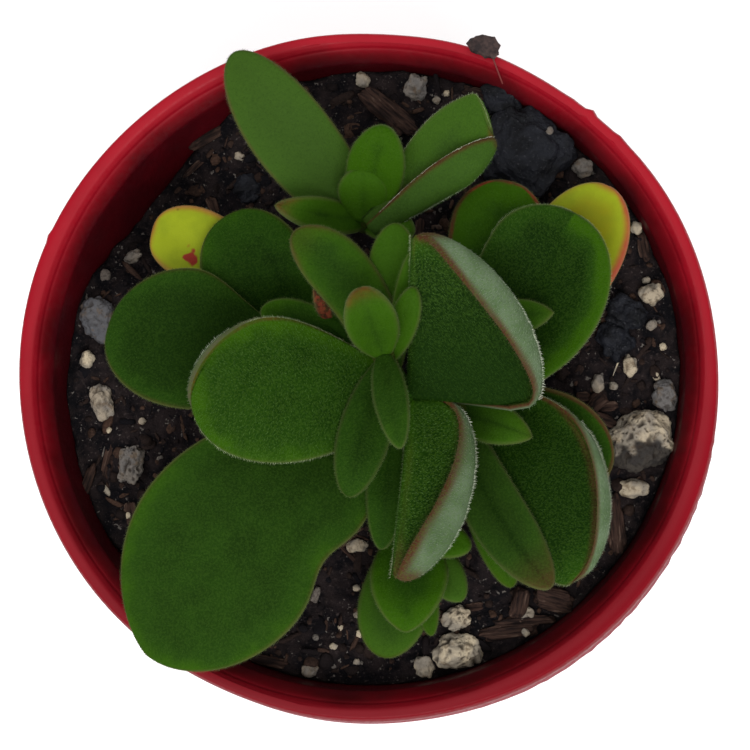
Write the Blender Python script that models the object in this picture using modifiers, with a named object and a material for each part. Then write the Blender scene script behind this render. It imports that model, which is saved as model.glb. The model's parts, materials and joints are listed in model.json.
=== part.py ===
"""Potted crassula: hairy fleshy leaves on short stems, in bark mix, in a 100 mm red plastic pot.

Sizes are in millimetres until a mesh is made, +Z is up, and the origin is under the middle of the pot.
"""
import math

import bmesh
import bpy
from mathutils import Matrix, Vector, noise

MM = 0.001
GAP = 0.3

# Pot
RIM_RADIUS = 50.0
RIM_HEIGHT = 85.0
BAND_WIDTH = 1.8
BEVEL_WIDTH = 2.7
BEVEL_DROP = 3.0
SKIRT_DROP = 9.0
PLASTIC = 1.1
FOOT_RADIUS = 34.2
FOOT_WIDTH = 2.2
FLOOR_LIFT = 1.6
FLOOR_TOP = 3.2
HOLE_COUNT = 6
HOLE_RADIUS = 4.0
HOLE_CIRCLE = 21.0
POT_STEPS = 44

# Potting mix
SOIL_DROP = 7.5
SOIL_RINGS = 8
SOIL_STEPS = 42
SOIL_BOTTOM = FLOOR_TOP + GAP

# What stands in the pot is laid out on a sheet square to a line of sight, from EYE over the pot to AIM
EYE = Vector((36.3, -66.4, RIM_HEIGHT + 443.8))
AIM = Vector((1.4, -0.8, RIM_HEIGHT))
SHEET_MIDDLE = (0.9, 0.3)

COLORS = {
    "red_plastic": (0.42, 0.008, 0.030, 1.0),
    "potting_mix": (0.016, 0.012, 0.011, 1.0),
    "pumice": (0.50, 0.47, 0.40, 1.0),
    "bark": (0.070, 0.035, 0.022, 1.0),
    "charcoal": (0.018, 0.019, 0.024, 1.0),
    "green_leaf": (0.045, 0.135, 0.018, 1.0),
    "yellow_leaf": (0.46, 0.40, 0.030, 1.0),
    "dry_leaf": (0.090, 0.040, 0.030, 1.0),
}
ROUGHNESS = {"red_plastic": 0.35, "potting_mix": 0.95, "pumice": 0.9, "bark": 0.85, "charcoal": 0.8}


def seen(x, y, z):
    """Point at height z that shows at (x, y) of the layout sheet."""
    sight = (AIM - EYE).normalized()
    right = sight.cross(Vector((0.0, 1.0, 0.0))).normalized()
    up = right.cross(sight)
    way = AIM + right * (x - SHEET_MIDDLE[0]) + up * (y - SHEET_MIDDLE[1]) - EYE
    return EYE + way * ((z - EYE.z) / way.z)


def clear_scene():
    for old in list(bpy.data.objects):
        bpy.data.objects.remove(old, do_unlink=True)
    for old in list(bpy.data.collections):
        bpy.data.collections.remove(old)


def new_collection(name):
    made = bpy.data.collections.new(name)
    bpy.context.scene.collection.children.link(made)
    return made


def material(slot):
    made = bpy.data.materials.get(slot)
    if made is None:
        made = bpy.data.materials.new(slot)
        made.use_nodes = True
        shader = made.node_tree.nodes["Principled BSDF"]
        shader.inputs["Base Color"].default_value = COLORS[slot]
        shader.inputs["Roughness"].default_value = ROUGHNESS.get(slot, 0.6)
        shader.inputs["Metallic"].default_value = 0.0
    return made


def new_object(name, mesh, collection, slot):
    made = bpy.data.objects.new(name, mesh)
    collection.objects.link(made)
    mesh.materials.clear()
    mesh.materials.append(material(slot))
    return made


def mesh_from(name, shape):
    """Mesh in metres of a bmesh that was drawn in millimetres."""
    shape.normal_update()
    bmesh.ops.scale(shape, vec=(MM, MM, MM), verts=shape.verts)
    mesh = bpy.data.meshes.new(name)
    shape.to_mesh(mesh)
    shape.free()
    return mesh


def bake(target):
    """Replace an object's mesh with its evaluated one and drop its modifiers."""
    bpy.context.view_layer.update()
    graph = bpy.context.evaluated_depsgraph_get()
    baked = bpy.data.meshes.new_from_object(target.evaluated_get(graph))
    target.modifiers.clear()
    target.data = baked


def combine(target, collection, operation, solver="EXACT"):
    """Join a collection's objects to the target, or cut them out of it, and remove them."""
    joiner = target.modifiers.new("combine", "BOOLEAN")
    joiner.operand_type = "COLLECTION"
    joiner.collection = collection
    joiner.operation = operation
    joiner.solver = solver
    bake(target)
    for old in list(collection.objects):
        bpy.data.objects.remove(old, do_unlink=True)


def keep_one_body(target):
    """Fill the hollows that a union sealed and drop its loose scraps: only the largest shell stays."""
    shape = bmesh.new()
    shape.from_mesh(target.data)
    unseen = set(shape.verts)
    shells = []
    while unseen:
        shell = set()
        front = [unseen.pop()]
        while front:
            vert = front.pop()
            shell.add(vert)
            for edge in vert.link_edges:
                other = edge.other_vert(vert)
                if other in unseen:
                    unseen.remove(other)
                    front.append(other)
        shells.append(shell)
    shells.sort(key=len)
    for shell in shells[:-1]:
        bmesh.ops.delete(shape, geom=list(shell), context="VERTS")
    shape.to_mesh(target.data)
    shape.free()


# The pot's turned profile
def inner_radius(z):
    """Radius of the pot's inner wall at a height."""
    top = RIM_HEIGHT - BEVEL_DROP
    share = (z - FLOOR_TOP) / (top - FLOOR_TOP)
    return FOOT_RADIUS - PLASTIC + share * (RIM_RADIUS - BAND_WIDTH - BEVEL_WIDTH - FOOT_RADIUS + PLASTIC)


def pot_profile():
    bevel_foot = RIM_HEIGHT - BEVEL_DROP
    band_in = RIM_RADIUS - BAND_WIDTH
    skirt_in = RIM_RADIUS - PLASTIC
    inside = [
        (0.0, FLOOR_TOP),
        (inner_radius(FLOOR_TOP) - 1.4, FLOOR_TOP),
        (inner_radius(FLOOR_TOP + 1.4), FLOOR_TOP + 1.4),
        (inner_radius(bevel_foot), bevel_foot),
        (band_in - 0.5, RIM_HEIGHT - 0.6),
    ]
    over_the_top = [
        (band_in + 0.1, RIM_HEIGHT - 0.1),
        (RIM_RADIUS - 1.0, RIM_HEIGHT),
        (RIM_RADIUS - 0.35, RIM_HEIGHT - 0.3),
        (RIM_RADIUS, RIM_HEIGHT - 1.1),
        (RIM_RADIUS, RIM_HEIGHT - SKIRT_DROP + 0.3),
        (RIM_RADIUS - 0.3, RIM_HEIGHT - SKIRT_DROP),
        (skirt_in, RIM_HEIGHT - SKIRT_DROP),
    ]
    under_the_rim = [
        (skirt_in, RIM_HEIGHT - 2.4),
        (skirt_in - 0.6, RIM_HEIGHT - 1.7),
        (inner_radius(bevel_foot) + PLASTIC + 0.2, bevel_foot - 0.9),
    ]
    outside = [
        (FOOT_RADIUS, FLOOR_TOP),
        (FOOT_RADIUS - 0.1, 0.3),
        (FOOT_RADIUS - 0.4, 0.0),
        (FOOT_RADIUS - FOOT_WIDTH, 0.0),
        (FOOT_RADIUS - FOOT_WIDTH - 0.2, FLOOR_LIFT),
        (0.0, FLOOR_LIFT),
    ]
    return inside + over_the_top + under_the_rim + outside


def make_pot(parts, cutters):
    shape = bmesh.new()
    rail = [shape.verts.new((radius, 0.0, z)) for radius, z in pot_profile()]
    for first, second in zip(rail, rail[1:]):
        shape.edges.new((first, second))
    pot = new_object("pot", mesh_from("pot", shape), parts, "red_plastic")
    turn = pot.modifiers.new("turn", "SCREW")
    turn.axis = "Z"
    turn.steps = POT_STEPS
    turn.render_steps = POT_STEPS
    turn.use_merge_vertices = True
    turn.merge_threshold = 0.0001
    bake(pot)
    for index in range(HOLE_COUNT):
        angle = math.tau * (index + 0.5) / HOLE_COUNT
        hole = bmesh.new()
        bmesh.ops.create_cone(hole, cap_ends=True, segments=12, radius1=HOLE_RADIUS, radius2=HOLE_RADIUS, depth=8.0)
        place = Vector((HOLE_CIRCLE * math.cos(angle), HOLE_CIRCLE * math.sin(angle), FLOOR_LIFT))
        bmesh.ops.translate(hole, vec=place, verts=hole.verts)
        cutter = new_object(f"drain_cutter_{index + 1}", mesh_from("drain_cutter", hole), cutters, "red_plastic")
        cutter.hide_render = True
        cutter.display_type = "WIRE"
    combine(pot, cutters, "DIFFERENCE")
    pot.data.shade_smooth()
    pot.data.set_sharp_from_angle(angle=math.radians(35))
    return pot


# The potting mix
def soil_height(x, y):
    """Height of the mix: high against the back, hollow at the upper left, lower at the front."""
    radius = math.hypot(x, y) / 45.0
    level = RIM_HEIGHT - SOIL_DROP + 0.045 * y + 0.02 * x
    level -= 9.0 * math.exp(-((x + 31.0) ** 2 + (y - 27.0) ** 2) / 190.0)
    level += 1.6 * (1.0 - radius * radius)
    rough = noise.noise(Vector((x * 0.11, y * 0.11, 3.0))) * 1.5
    fine = noise.noise(Vector((x * 0.31, y * 0.31, 9.0))) * 0.9
    return level + rough + fine


def wall_gap_radius(z):
    return inner_radius(z) - GAP


def make_soil(parts):
    """Filled body of mix: a bumpy top, and sides that follow the pot's wall."""
    shape = bmesh.new()
    rings = []
    for ring in range(1, SOIL_RINGS + 1):
        share = ring / SOIL_RINGS
        row = []
        for step in range(SOIL_STEPS):
            angle = math.tau * step / SOIL_STEPS
            reach = 44.0
            for _ in range(3):
                z = soil_height(reach * math.cos(angle), reach * math.sin(angle))
                reach = wall_gap_radius(z) - 0.05
            x, y = share * reach * math.cos(angle), share * reach * math.sin(angle)
            row.append(shape.verts.new((x, y, soil_height(x, y))))
        rings.append(row)
    middle = shape.verts.new((0.0, 0.0, soil_height(0.0, 0.0)))
    low_radius = wall_gap_radius(SOIL_BOTTOM) - 1.7
    low = []
    for step in range(SOIL_STEPS):
        angle = math.tau * step / SOIL_STEPS
        low.append(shape.verts.new((low_radius * math.cos(angle), low_radius * math.sin(angle), SOIL_BOTTOM)))
    for step in range(SOIL_STEPS):
        after = (step + 1) % SOIL_STEPS
        shape.faces.new((middle, rings[0][step], rings[0][after]))
        for inner, outer in zip(rings, rings[1:]):
            shape.faces.new((inner[step], outer[step], outer[after], inner[after]))
        shape.faces.new((rings[-1][step], low[step], low[after], rings[-1][after]))
    shape.faces.new(list(reversed(low)))
    bmesh.ops.triangulate(shape, faces=shape.faces)
    return new_object("potting_mix", mesh_from("potting_mix", shape), parts, "potting_mix")


# Loose pieces on the mix; a stone wider than LARGE_STONE has a finer surface
LARGE_STONE = 8.0
STONES = (
    # name, plan x, plan y, length, width, height, turn in degrees
    ("pumice_left", -41.3, 8.9, 4.8, 6.8, 4.2, 20),
    ("pumice_left_white", -40.3, 2.7, 2.2, 2.6, 2.0, 0),
    ("pumice_left_cream", -38.0, -3.6, 3.4, 5.2, 3.0, 15),
    ("pumice_left_grey", -34.0, -12.3, 3.4, 6.0, 3.0, -10),
    ("pumice_left_back", -34.4, 18.0, 2.9, 1.8, 1.9, 30),
    ("pumice_back", -0.6, 43.3, 2.2, 2.3, 2.0, 0),
    ("pumice_back_grey", 6.9, 40.6, 3.2, 3.8, 2.4, -15),
    ("pumice_right_back", 30.6, 29.4, 2.9, 2.6, 2.0, 0),
    ("pumice_right_white", 40.3, 11.4, 3.2, 2.9, 2.4, 25),
    ("pumice_right_oval", 37.3, 1.4, 2.0, 3.2, 2.0, 5),
    ("pumice_right_mid", 32.7, -1.3, 1.9, 2.9, 1.8, 0),
    ("pumice_right_grey", 42.7, -2.7, 3.4, 4.6, 3.0, 15),
    ("pumice_right_large", 39.4, -9.2, 9.2, 8.6, 6.2, 20),
    ("pumice_right_low", 37.7, -15.9, 4.4, 2.7, 2.4, 0),
    ("pumice_front_right", 22.4, -33.7, 2.1, 1.8, 1.6, 0),
    ("pumice_front_mid", 12.4, -34.4, 4.0, 3.4, 2.4, 30),
    ("pumice_front_large", 13.0, -40.7, 6.6, 4.7, 4.0, 8),
    ("pumice_front_cream", 8.0, -42.2, 2.6, 3.0, 2.2, 0),
    ("pumice_front_inner", -1.7, -24.1, 3.1, 2.0, 1.8, 10),
    ("pumice_front_left", -8.6, -41.8, 2.4, 2.0, 1.8, 20),
)
BARK = (
    # name, plan x, plan y, length, width, height, turn in degrees
    ("bark_back", 3.0, 37.1, 8.4, 3.1, 2.6, -42),
    ("bark_right", 36.1, -21.7, 8.4, 2.6, 2.2, 95),
    ("bark_front_right", 26.3, -31.7, 5.2, 3.2, 2.4, -15),
    ("bark_front", 21.0, -38.0, 8.6, 1.9, 1.8, 5),
    ("charcoal_lump", 24.1, 33.9, 11.5, 11.0, 5.6, -35),
)


def lump(length, width, height, turn, seed, detail, boxy):
    """A broken stone or chip: a sphere that is stretched, squared a little and dented by noise."""
    shape = bmesh.new()
    bmesh.ops.create_icosphere(shape, subdivisions=detail, radius=1.0)
    spin = Matrix.Rotation(math.radians(turn), 4, "Z")
    for vert in shape.verts:
        way = vert.co.copy()
        squared = Vector([math.copysign(abs(part) ** boxy, part) for part in way])
        dent = 1.0 + 0.32 * noise.noise(way * 1.4 + Vector((seed * 5.3, seed * 1.7, 0.0)))
        sized = Vector((squared.x * length, squared.y * width, squared.z * height)) * (0.5 * dent)
        vert.co = spin @ sized
    return shape


def past_the_wall(shape):
    """How far a shape's furthest point is beyond the pot's inner wall, less the gap."""
    overs = []
    for vert in shape.verts:
        over = math.hypot(vert.co.x, vert.co.y) - wall_gap_radius(min(vert.co.z, RIM_HEIGHT - BEVEL_DROP))
        overs.append(over)
    return max(max(overs), 0.0)


def make_loose(parts, beds, row, slot, seed, boxy, sink):
    """One loose piece, part sunk in the mix and clear of the wall, and the bed that it lies in."""
    name, x, y, length, width, height, turn = row
    place = seen(x, y, RIM_HEIGHT - SOIL_DROP)
    place.z = soil_height(place.x, place.y) + height * (0.5 - sink)
    detail = 3 if slot == "pumice" and min(length, width) > LARGE_STONE else 2
    for grown, collection in ((0.0, parts), (GAP, beds)):
        sizes = [size + 2.0 * grown for size in (length, width, height)]
        shape = lump(*sizes, turn, seed, detail, boxy)
        bmesh.ops.translate(shape, vec=place, verts=shape.verts)
        if collection is parts:
            inward = Vector((-place.x, -place.y, 0.0)).normalized() * past_the_wall(shape) * 1.1
            bmesh.ops.translate(shape, vec=inward, verts=shape.verts)
            place += inward
        title = name if collection is parts else f"bed_of_{name}"
        made = new_object(title, mesh_from(title, shape), collection, slot)
        made.hide_render = collection is beds
        made.display_type = "WIRE" if collection is beds else "TEXTURED"


# Leaves
def half(width, tilt=8.0, fold_at=(1.0, 1.0), fold=0.0, **shape):
    """One side of a leaf: its width, slope and fold, and outline values of its own where it has them."""
    return {"width": width, "tilt": tilt, "fold_at": fold_at, "fold": fold, "shape": shape}


def leaf(at, tip, width, rise=25.0, droop=-10.0, widest=0.55, neck=0.3, foot=0.9, point=0.55,
         tilt=10.0, thick=2.2, bow=0.0, root=None, left=None, right=None):
    """A leaf: height where it leaves the stem, plan place and height of its tip, and its form."""
    return {
        "at": at, "tip": tip, "rise": rise, "droop": droop, "widest": widest, "neck": neck, "foot": foot,
        "point": point, "thick": thick, "bow": bow, "root": root,
        "left": left or half(width, tilt), "right": right or half(width, tilt),
    }


SHOOTS = {
    "shoot_upper": {
        "foot": (-0.6, 22.0), "top": (-0.6, 22.6, 91.0), "radius": (1.9, 1.3),
        "leaves": {
            "back_left": leaf(86, (-19.3, 46.3, 97), 6.2, rise=30, droop=0, widest=0.52, neck=0.45, bow=0.9,
                              right=half(5.6, 10)),
            "back_right": leaf(86, (17.8, 34.2, 94), 8.0, rise=25, droop=5, widest=0.76, neck=0.4, point=0.5,
                               bow=2.0, left=half(7.8, 22, widest=0.96, neck=0.25, foot=1.6),
                               right=half(8.8, 6, (0.6, 0.44), 155, widest=0.7, point=0.6)),
            "upright": leaf(88, (2.2, 36.0, 101), 4.5, rise=50, droop=15, widest=0.6, neck=0.45, bow=-0.5),
            "young": leaf(90, (-0.6, 30.0, 100), 3.7, rise=60, droop=20, widest=0.6, neck=0.5),
            "front_left": leaf(87, (-13.4, 24.5, 97), 2.8, rise=30, droop=5, widest=0.5, neck=0.5, point=0.75,
                               tilt=24, bow=1.0),
            "front_right": leaf(86, (6.5, 20.5, 92), 2.6, rise=20, droop=5, widest=0.6, neck=0.5, tilt=20),
        },
    },
    "shoot_main": {
        "foot": (4.6, -3.4), "top": (2.0, 3.4, 102.5), "radius": (2.6, 1.5),
        "leaves": {
            "bud_down": leaf(102, (4.5, -10.2, 109), 2.4, rise=25, droop=5, widest=0.48, neck=0.4, thick=1.8),
            "bud_up": leaf(102, (-1.3, 12.8, 111), 3.9, rise=35, droop=5, widest=0.62, neck=0.35, tilt=24,
                           thick=1.8),
            "inner_right": leaf(99, (6.5, 12.9, 107), 2.1, rise=35, droop=15, widest=0.6, neck=0.4, thick=1.8,
                                bow=-0.7),
            "inner_back": leaf(97, (6.4, 18.1, 105), 1.9, rise=30, droop=15, widest=0.6, neck=0.4, thick=1.8,
                               bow=-1.0),
            "inner_front": leaf(98, (-2.9, -17.1, 102), 3.7, rise=20, droop=-10, widest=0.55, neck=0.4),
            "inner_left": leaf(96, (-10.9, 20.5, 102), 4.4, rise=20, droop=0, widest=0.66, neck=0.5, tilt=14,
                               bow=-3.2),
            "back": leaf(95, (3.9, 22.0, 101), 3.6, rise=20, droop=5, widest=0.66, neck=0.45),
            "left": leaf(96, (-25.0, -4.9, 102), 10.6, rise=25, droop=-20, widest=0.5, neck=0.3, foot=0.7,
                         point=0.52, tilt=4, thick=2.8,
                         right=half(10.7, 4, widest=0.6, neck=0.15, foot=1.5, point=0.5)),
            "right_hood": leaf(97, (6.9, 20.3, 108), 2.0, rise=10, droop=5, widest=0.42, neck=0.7, foot=0.4,
                               point=0.5, root=(6.4, -3.0, 99), thick=1.8, bow=-0.4, left=half(1.6, -10),
                               right=half(20.4, 6, (0.99, 0.6), 160, point=0.56)),
            "front_hood": leaf(96, (4.0, -28.7, 103), 2.0, rise=10, droop=5, widest=0.62, neck=0.3, foot=0.6,
                               point=0.5, root=(6.5, -3.2, 98), thick=1.8, bow=0.6,
                               left=half(12.5, 8, (0.92, 0.5), 160), right=half(1.6, -10)),
            "front": leaf(93, (1.8, -24.6, 96), 3.0, rise=10, droop=-5, widest=0.6, neck=0.5, bow=0.7),
            "dry_stub": leaf(92, (-7.7, 12.2, 99), 1.1, rise=30, droop=20, widest=0.5, neck=0.6,
                             thick=1.4, root=(-5.6, 8.0, 95)),
            "lower_left": leaf(92, (-15.4, 9.6, 96), 2.8, rise=20, droop=5, widest=0.6, neck=0.45,
                               root=(-3.0, 6.0, 94), thick=1.8),
            "large": leaf(90, (-31.6, -39.7, 92.5), 13.2, rise=20, droop=-15, widest=0.66, neck=0.26, foot=1.3,
                          point=0.58, tilt=5, thick=3.0,
                          right=half(15.0, 5, widest=0.62, foot=2.0, point=0.66)),
        },
    },
    "shoot_left": {
        "foot": (-10.5, 6.0), "top": (-11.0, 6.0, 89.0), "radius": (1.7, 1.4),
        "leaves": {
            "far": leaf(87, (-37.0, 7.6, 92), 10.2, rise=25, droop=-15, widest=0.56, neck=0.35, point=0.5,
                        tilt=6, bow=2.4, right=half(10.0, 6, neck=0.12, foot=1.8)),
            "back": leaf(84, (-19.9, 23.2, 89), 8.0, rise=25, droop=-10, widest=0.55, neck=0.4, point=0.5,
                         tilt=6, right=half(7.3, 6)),
        },
    },
    "shoot_right": {
        "foot": (12.4, -5.4), "top": (12.6, -5.0, 92.0), "radius": (1.9, 1.5),
        "leaves": {
            "back_large": leaf(87, (29.6, 23.3, 95), 8.9, rise=25, droop=0, widest=0.7, neck=0.4, point=0.5,
                               tilt=14, root=(15.5, 1.2, 89), bow=-0.8,
                               right=half(11.1, 14, widest=0.52, foot=0.8)),
            "back": leaf(86, (20.0, 28.0, 91), 6.8, rise=20, droop=5, widest=0.7, neck=0.3, point=0.5,
                         root=(15.0, 5.0, 88.5)),
            "tongue_back": leaf(90, (26.4, 9.2, 98), 2.6, rise=20, droop=10, widest=0.5, neck=0.5, point=0.8,
                                thick=1.8, root=(15.0, 7.6, 95)),
            "tongue": leaf(90, (23.3, -8.6, 97), 3.0, rise=30, droop=0, widest=0.5, neck=0.6, point=0.75,
                           thick=1.8),
            "front_hood": leaf(87, (29.0, -29.4, 94), 2.0, rise=15, droop=5, widest=0.56, neck=0.4, point=0.46,
                               left=half(15.0, 10, (0.96, 0.81), 140), right=half(4.0, -6)),
            "front": leaf(89, (26.1, -30.0, 94), 4.3, rise=20, droop=0, widest=0.6, neck=0.4, tilt=16,
                          bow=-2.5),
            "outer": leaf(84, (34.5, -13.5, 89), 8.0, rise=20, droop=0, widest=0.6, neck=0.35, point=0.5),
            "front_low": leaf(86, (20.4, -30.0, 88), 3.2, rise=15, droop=-10, widest=0.6, neck=0.4),
        },
    },
    "shoot_front": {
        "foot": (6.5, -22.0), "top": (6.5, -22.2, 86.0), "radius": (1.5, 1.2),
        "leaves": {
            "front": leaf(84, (5.2, -36.4, 91), 5.5, rise=30, droop=-5, widest=0.5, neck=0.4, point=0.7),
            "front_left": leaf(82, (2.0, -40.0, 85), 5.2, rise=15, droop=-10, widest=0.6, neck=0.35),
            "front_thin": leaf(82, (9.0, -36.9, 86), 1.9, rise=20, droop=-5, widest=0.6, neck=0.5, thick=1.6),
            "front_right": leaf(83, (13.4, -31.9, 89), 2.9, rise=25, droop=0, widest=0.6, neck=0.45, thick=1.8),
            "right": leaf(84, (14.6, -24.4, 91), 2.6, rise=35, droop=0, widest=0.6, neck=0.5, thick=1.8),
        },
    },
}
OLD_LEAVES = {
    "yellow_leaf_left": leaf(0, (-31.0, 20.4, 86.3), 4.5, rise=15, droop=-5, widest=0.7, root=(-12.9, 8.2, 83.2),
                             bow=-3.0, left=half(5.2, 10, point=0.4), right=half(5.8, 10, point=0.4)),
    "yellow_leaf_right": leaf(0, (34.0, 27.4, 88.1), 7.0, rise=10, droop=5, widest=0.72, point=0.5,
                              root=(13.8, -3.0, 82.2), bow=-2.5),
}
SCRAP = leaf(0, (14.2, 47.6, 86.1), 1.3, rise=10, droop=-10, widest=0.4, neck=0.5, tilt=-12, thick=0.9,
             root=(18.6, 46.7, 85.9))
SCRAP_STALK = ((17.3, 46.6, 86.1), (18.9, 42.4, 85.1), 0.3)
EDGE_THICK = 0.8
STALK_RADII = (1.3, 1.0)
HOLE_DEPTH = 9.0
HOLE_LENGTH = 20.0
LONG_LEAF = 16.0
WIDE_LEAF = 20.0


def ease(value):
    value = min(max(value, 0.0), 1.0)
    return value * value * (3.0 - 2.0 * value)


def outline(form, along):
    """Share of the full width at a share of the length."""
    widest = form["widest"]
    if along < widest:
        back = (widest - along) / widest
        return form["neck"] + (1.0 - form["neck"]) * max(1.0 - back * back, 0.0) ** form["foot"]
    ahead = (along - widest) / (1.0 - widest)
    return max(1.0 - ahead * ahead, 0.0) ** form["point"]


def across(side, along, share, width):
    """Offset sideways and upwards of a point on one half, walked out from the midrib."""
    fold_at = side["fold_at"][0] + (side["fold_at"][1] - side["fold_at"][0]) * along
    steps = 14
    reach = 0.0
    lift = 0.0
    for step in range(steps):
        here = share * (step + 0.5) / steps
        bend = side["fold"] * ease((here - fold_at + 0.14) / 0.28)
        angle = math.radians(side["tilt"] * (0.4 + 1.2 * here) + bend)
        reach += math.cos(angle) * width * share / steps
        lift += math.sin(angle) * width * share / steps
    return reach, lift


def spine(form, root, tip):
    """Cubic curve from root to tip, its start and end slopes set by rise and droop."""
    flat = Vector((tip.x - root.x, tip.y - root.y, 0.0))
    heading = flat.normalized()
    handle = (tip - root).length / 3.0
    rise, droop = math.radians(form["rise"]), math.radians(form["droop"])
    sideways = Vector((-heading.y, heading.x, 0.0)) * form["bow"]
    start = root + (heading * math.cos(rise) + Vector((0, 0, math.sin(rise)))) * handle + sideways
    end = tip - (heading * math.cos(droop) + Vector((0, 0, math.sin(droop)))) * handle + sideways

    def at(share):
        rest = 1.0 - share
        point = root * rest ** 3 + start * 3 * rest ** 2 * share + end * 3 * rest * share ** 2 + tip * share ** 3
        slope = (start - root) * rest ** 2 + (end - start) * 2 * rest * share + (tip - end) * share ** 2
        return point, slope.normalized()

    return at


def leaf_sheet(form, root, tip, rows, columns):
    """Middle surface of a leaf as rows of points from root to tip, and its normals."""
    at = spine(form, root, tip)
    sheet = []
    for row in range(rows + 1):
        along = math.sin(0.5 * math.pi * row / rows) ** 1.15
        along = min(along, 0.995)
        point, slope = at(along)
        side = slope.cross(Vector((0, 0, 1))).normalized()
        up = side.cross(slope).normalized()
        line = []
        for column in range(-columns, columns + 1):
            share = abs(column) / columns
            half_leaf = form["right"] if column > 0 else form["left"]
            width = half_leaf["width"] * outline(form | half_leaf["shape"], along)
            reach, lift = across(half_leaf, along, share, width)
            line.append(point + side * math.copysign(reach, column) + up * lift)
        sheet.append(line)
    normals = []
    for row, line in enumerate(sheet):
        ahead = sheet[min(row + 1, rows)]
        behind = sheet[max(row - 1, 0)]
        normal_line = []
        for column in range(len(line)):
            after = line[min(column + 1, len(line) - 1)]
            before = line[max(column - 1, 0)]
            normal = (after - before).cross(ahead[column] - behind[column])
            normal_line.append(normal.normalized())
        normals.append(normal_line)
    return sheet, normals


def make_leaf(name, form, root, tip, collection, slot):
    """Closed fleshy leaf: an upper and a lower skin, thin at the margin, joined around it."""
    length = (tip - root).length
    folded = form["left"]["fold"] or form["right"]["fold"]
    rows = 5 if length < LONG_LEAF else 7
    columns = 5 if folded else (2 if length < WIDE_LEAF else 3)
    rows = rows + 2 if folded else rows
    sheet, normals = leaf_sheet(form, root, tip, rows, columns)
    shape = bmesh.new()
    skins = []
    for way in (0.5, -0.5):
        skin = []
        for row, line in enumerate(sheet):
            body = 1.0 - 0.62 * ease((row / rows - 0.55) / 0.45)
            points = []
            for column, point in enumerate(line):
                share = abs(column - columns) / columns
                thick = EDGE_THICK + (form["thick"] - EDGE_THICK) * (1.0 - share ** 2.2) * body
                points.append(shape.verts.new(point + normals[row][column] * (way * thick)))
            skin.append(points)
        skins.append(skin)
    upper, lower = skins
    last = 2 * columns
    for row in range(rows):
        for column in range(last):
            a, b = upper[row][column], upper[row][column + 1]
            c, d = upper[row + 1][column + 1], upper[row + 1][column]
            shape.faces.new((a, b, c))
            shape.faces.new((a, c, d))
            a, b = lower[row][column], lower[row][column + 1]
            c, d = lower[row + 1][column + 1], lower[row + 1][column]
            shape.faces.new((a, c, b))
            shape.faces.new((a, d, c))
        shape.faces.new((upper[row][0], upper[row + 1][0], lower[row + 1][0], lower[row][0]))
        shape.faces.new((upper[row][last], lower[row][last], lower[row + 1][last], upper[row + 1][last]))
    for column in range(last):
        shape.faces.new((upper[0][column], lower[0][column], lower[0][column + 1], upper[0][column + 1]))
        shape.faces.new((upper[rows][column + 1], lower[rows][column + 1], lower[rows][column], upper[rows][column]))
    bmesh.ops.triangulate(shape, faces=[face for face in shape.faces if len(face.verts) > 3])
    bmesh.ops.recalc_face_normals(shape, faces=shape.faces)
    return new_object(name, mesh_from(name, shape), collection, slot)


def stem_point(shoot, z):
    """Centre of a shoot's stem at a height."""
    top = seen(*shoot["top"])
    foot = seen(*shoot["foot"], soil_height(*shoot["foot"]))
    share = (z - foot.z) / (top.z - foot.z)
    return foot + (top - foot) * share


def rod(name, low, high, low_radius, high_radius, segments, collection, slot):
    """Tapered round rod between two points."""
    shape = bmesh.new()
    axis = high - low
    bmesh.ops.create_cone(
        shape, cap_ends=True, segments=segments, radius1=low_radius, radius2=high_radius, depth=axis.length
    )
    turn = Vector((0, 0, 1)).rotation_difference(axis).to_matrix().to_4x4()
    bmesh.ops.transform(shape, matrix=Matrix.Translation((low + high) / 2.0) @ turn, verts=shape.verts)
    return new_object(name, mesh_from(name, shape), collection, slot)


def make_shoot(name, shoot, parts, beds):
    """One leafy stem in its own hole in the mix, its leaves joined to it."""
    foot = stem_point(shoot, soil_height(*shoot["foot"]) - HOLE_DEPTH)
    top = stem_point(shoot, shoot["top"][2])
    low_radius, high_radius = shoot["radius"]
    stem = rod(name, foot, top, low_radius, high_radius, 10, parts, "green_leaf")
    way = (top - foot).normalized()
    hole_radius = low_radius + GAP
    rod(f"hole_of_{name}", foot - way * GAP, foot + way * HOLE_LENGTH, hole_radius, hole_radius, 14, beds,
        "potting_mix")
    leaves = new_collection(f"leaves_of_{name}")
    for title, form in shoot["leaves"].items():
        root = stem_point(shoot, form["at"])
        if form["root"]:
            start, root = root, seen(*form["root"])
            rod(f"{name}_{title}_stalk", start, root, *STALK_RADII, 8, leaves, "green_leaf")
        make_leaf(f"{name}_{title}", form, root, seen(*form["tip"]), leaves, "green_leaf")
    combine(stem, leaves, "UNION", "MANIFOLD")
    keep_one_body(stem)
    bpy.data.collections.remove(leaves)
    return stem


def make_scrap(parts):
    """Dry leaf scrap that lies over the rim, its thin stalk hanging in along the bevel."""
    joined = new_collection("scrap_pieces")
    start, end, radius = SCRAP_STALK
    scrap = make_leaf("dry_leaf_scrap", SCRAP, seen(*SCRAP["root"]), seen(*SCRAP["tip"]), parts, "dry_leaf")
    rod("scrap_stalk", seen(*start), seen(*end), radius, radius, 6, joined, "dry_leaf")
    combine(scrap, joined, "UNION", "MANIFOLD")
    bpy.data.collections.remove(joined)


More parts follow.
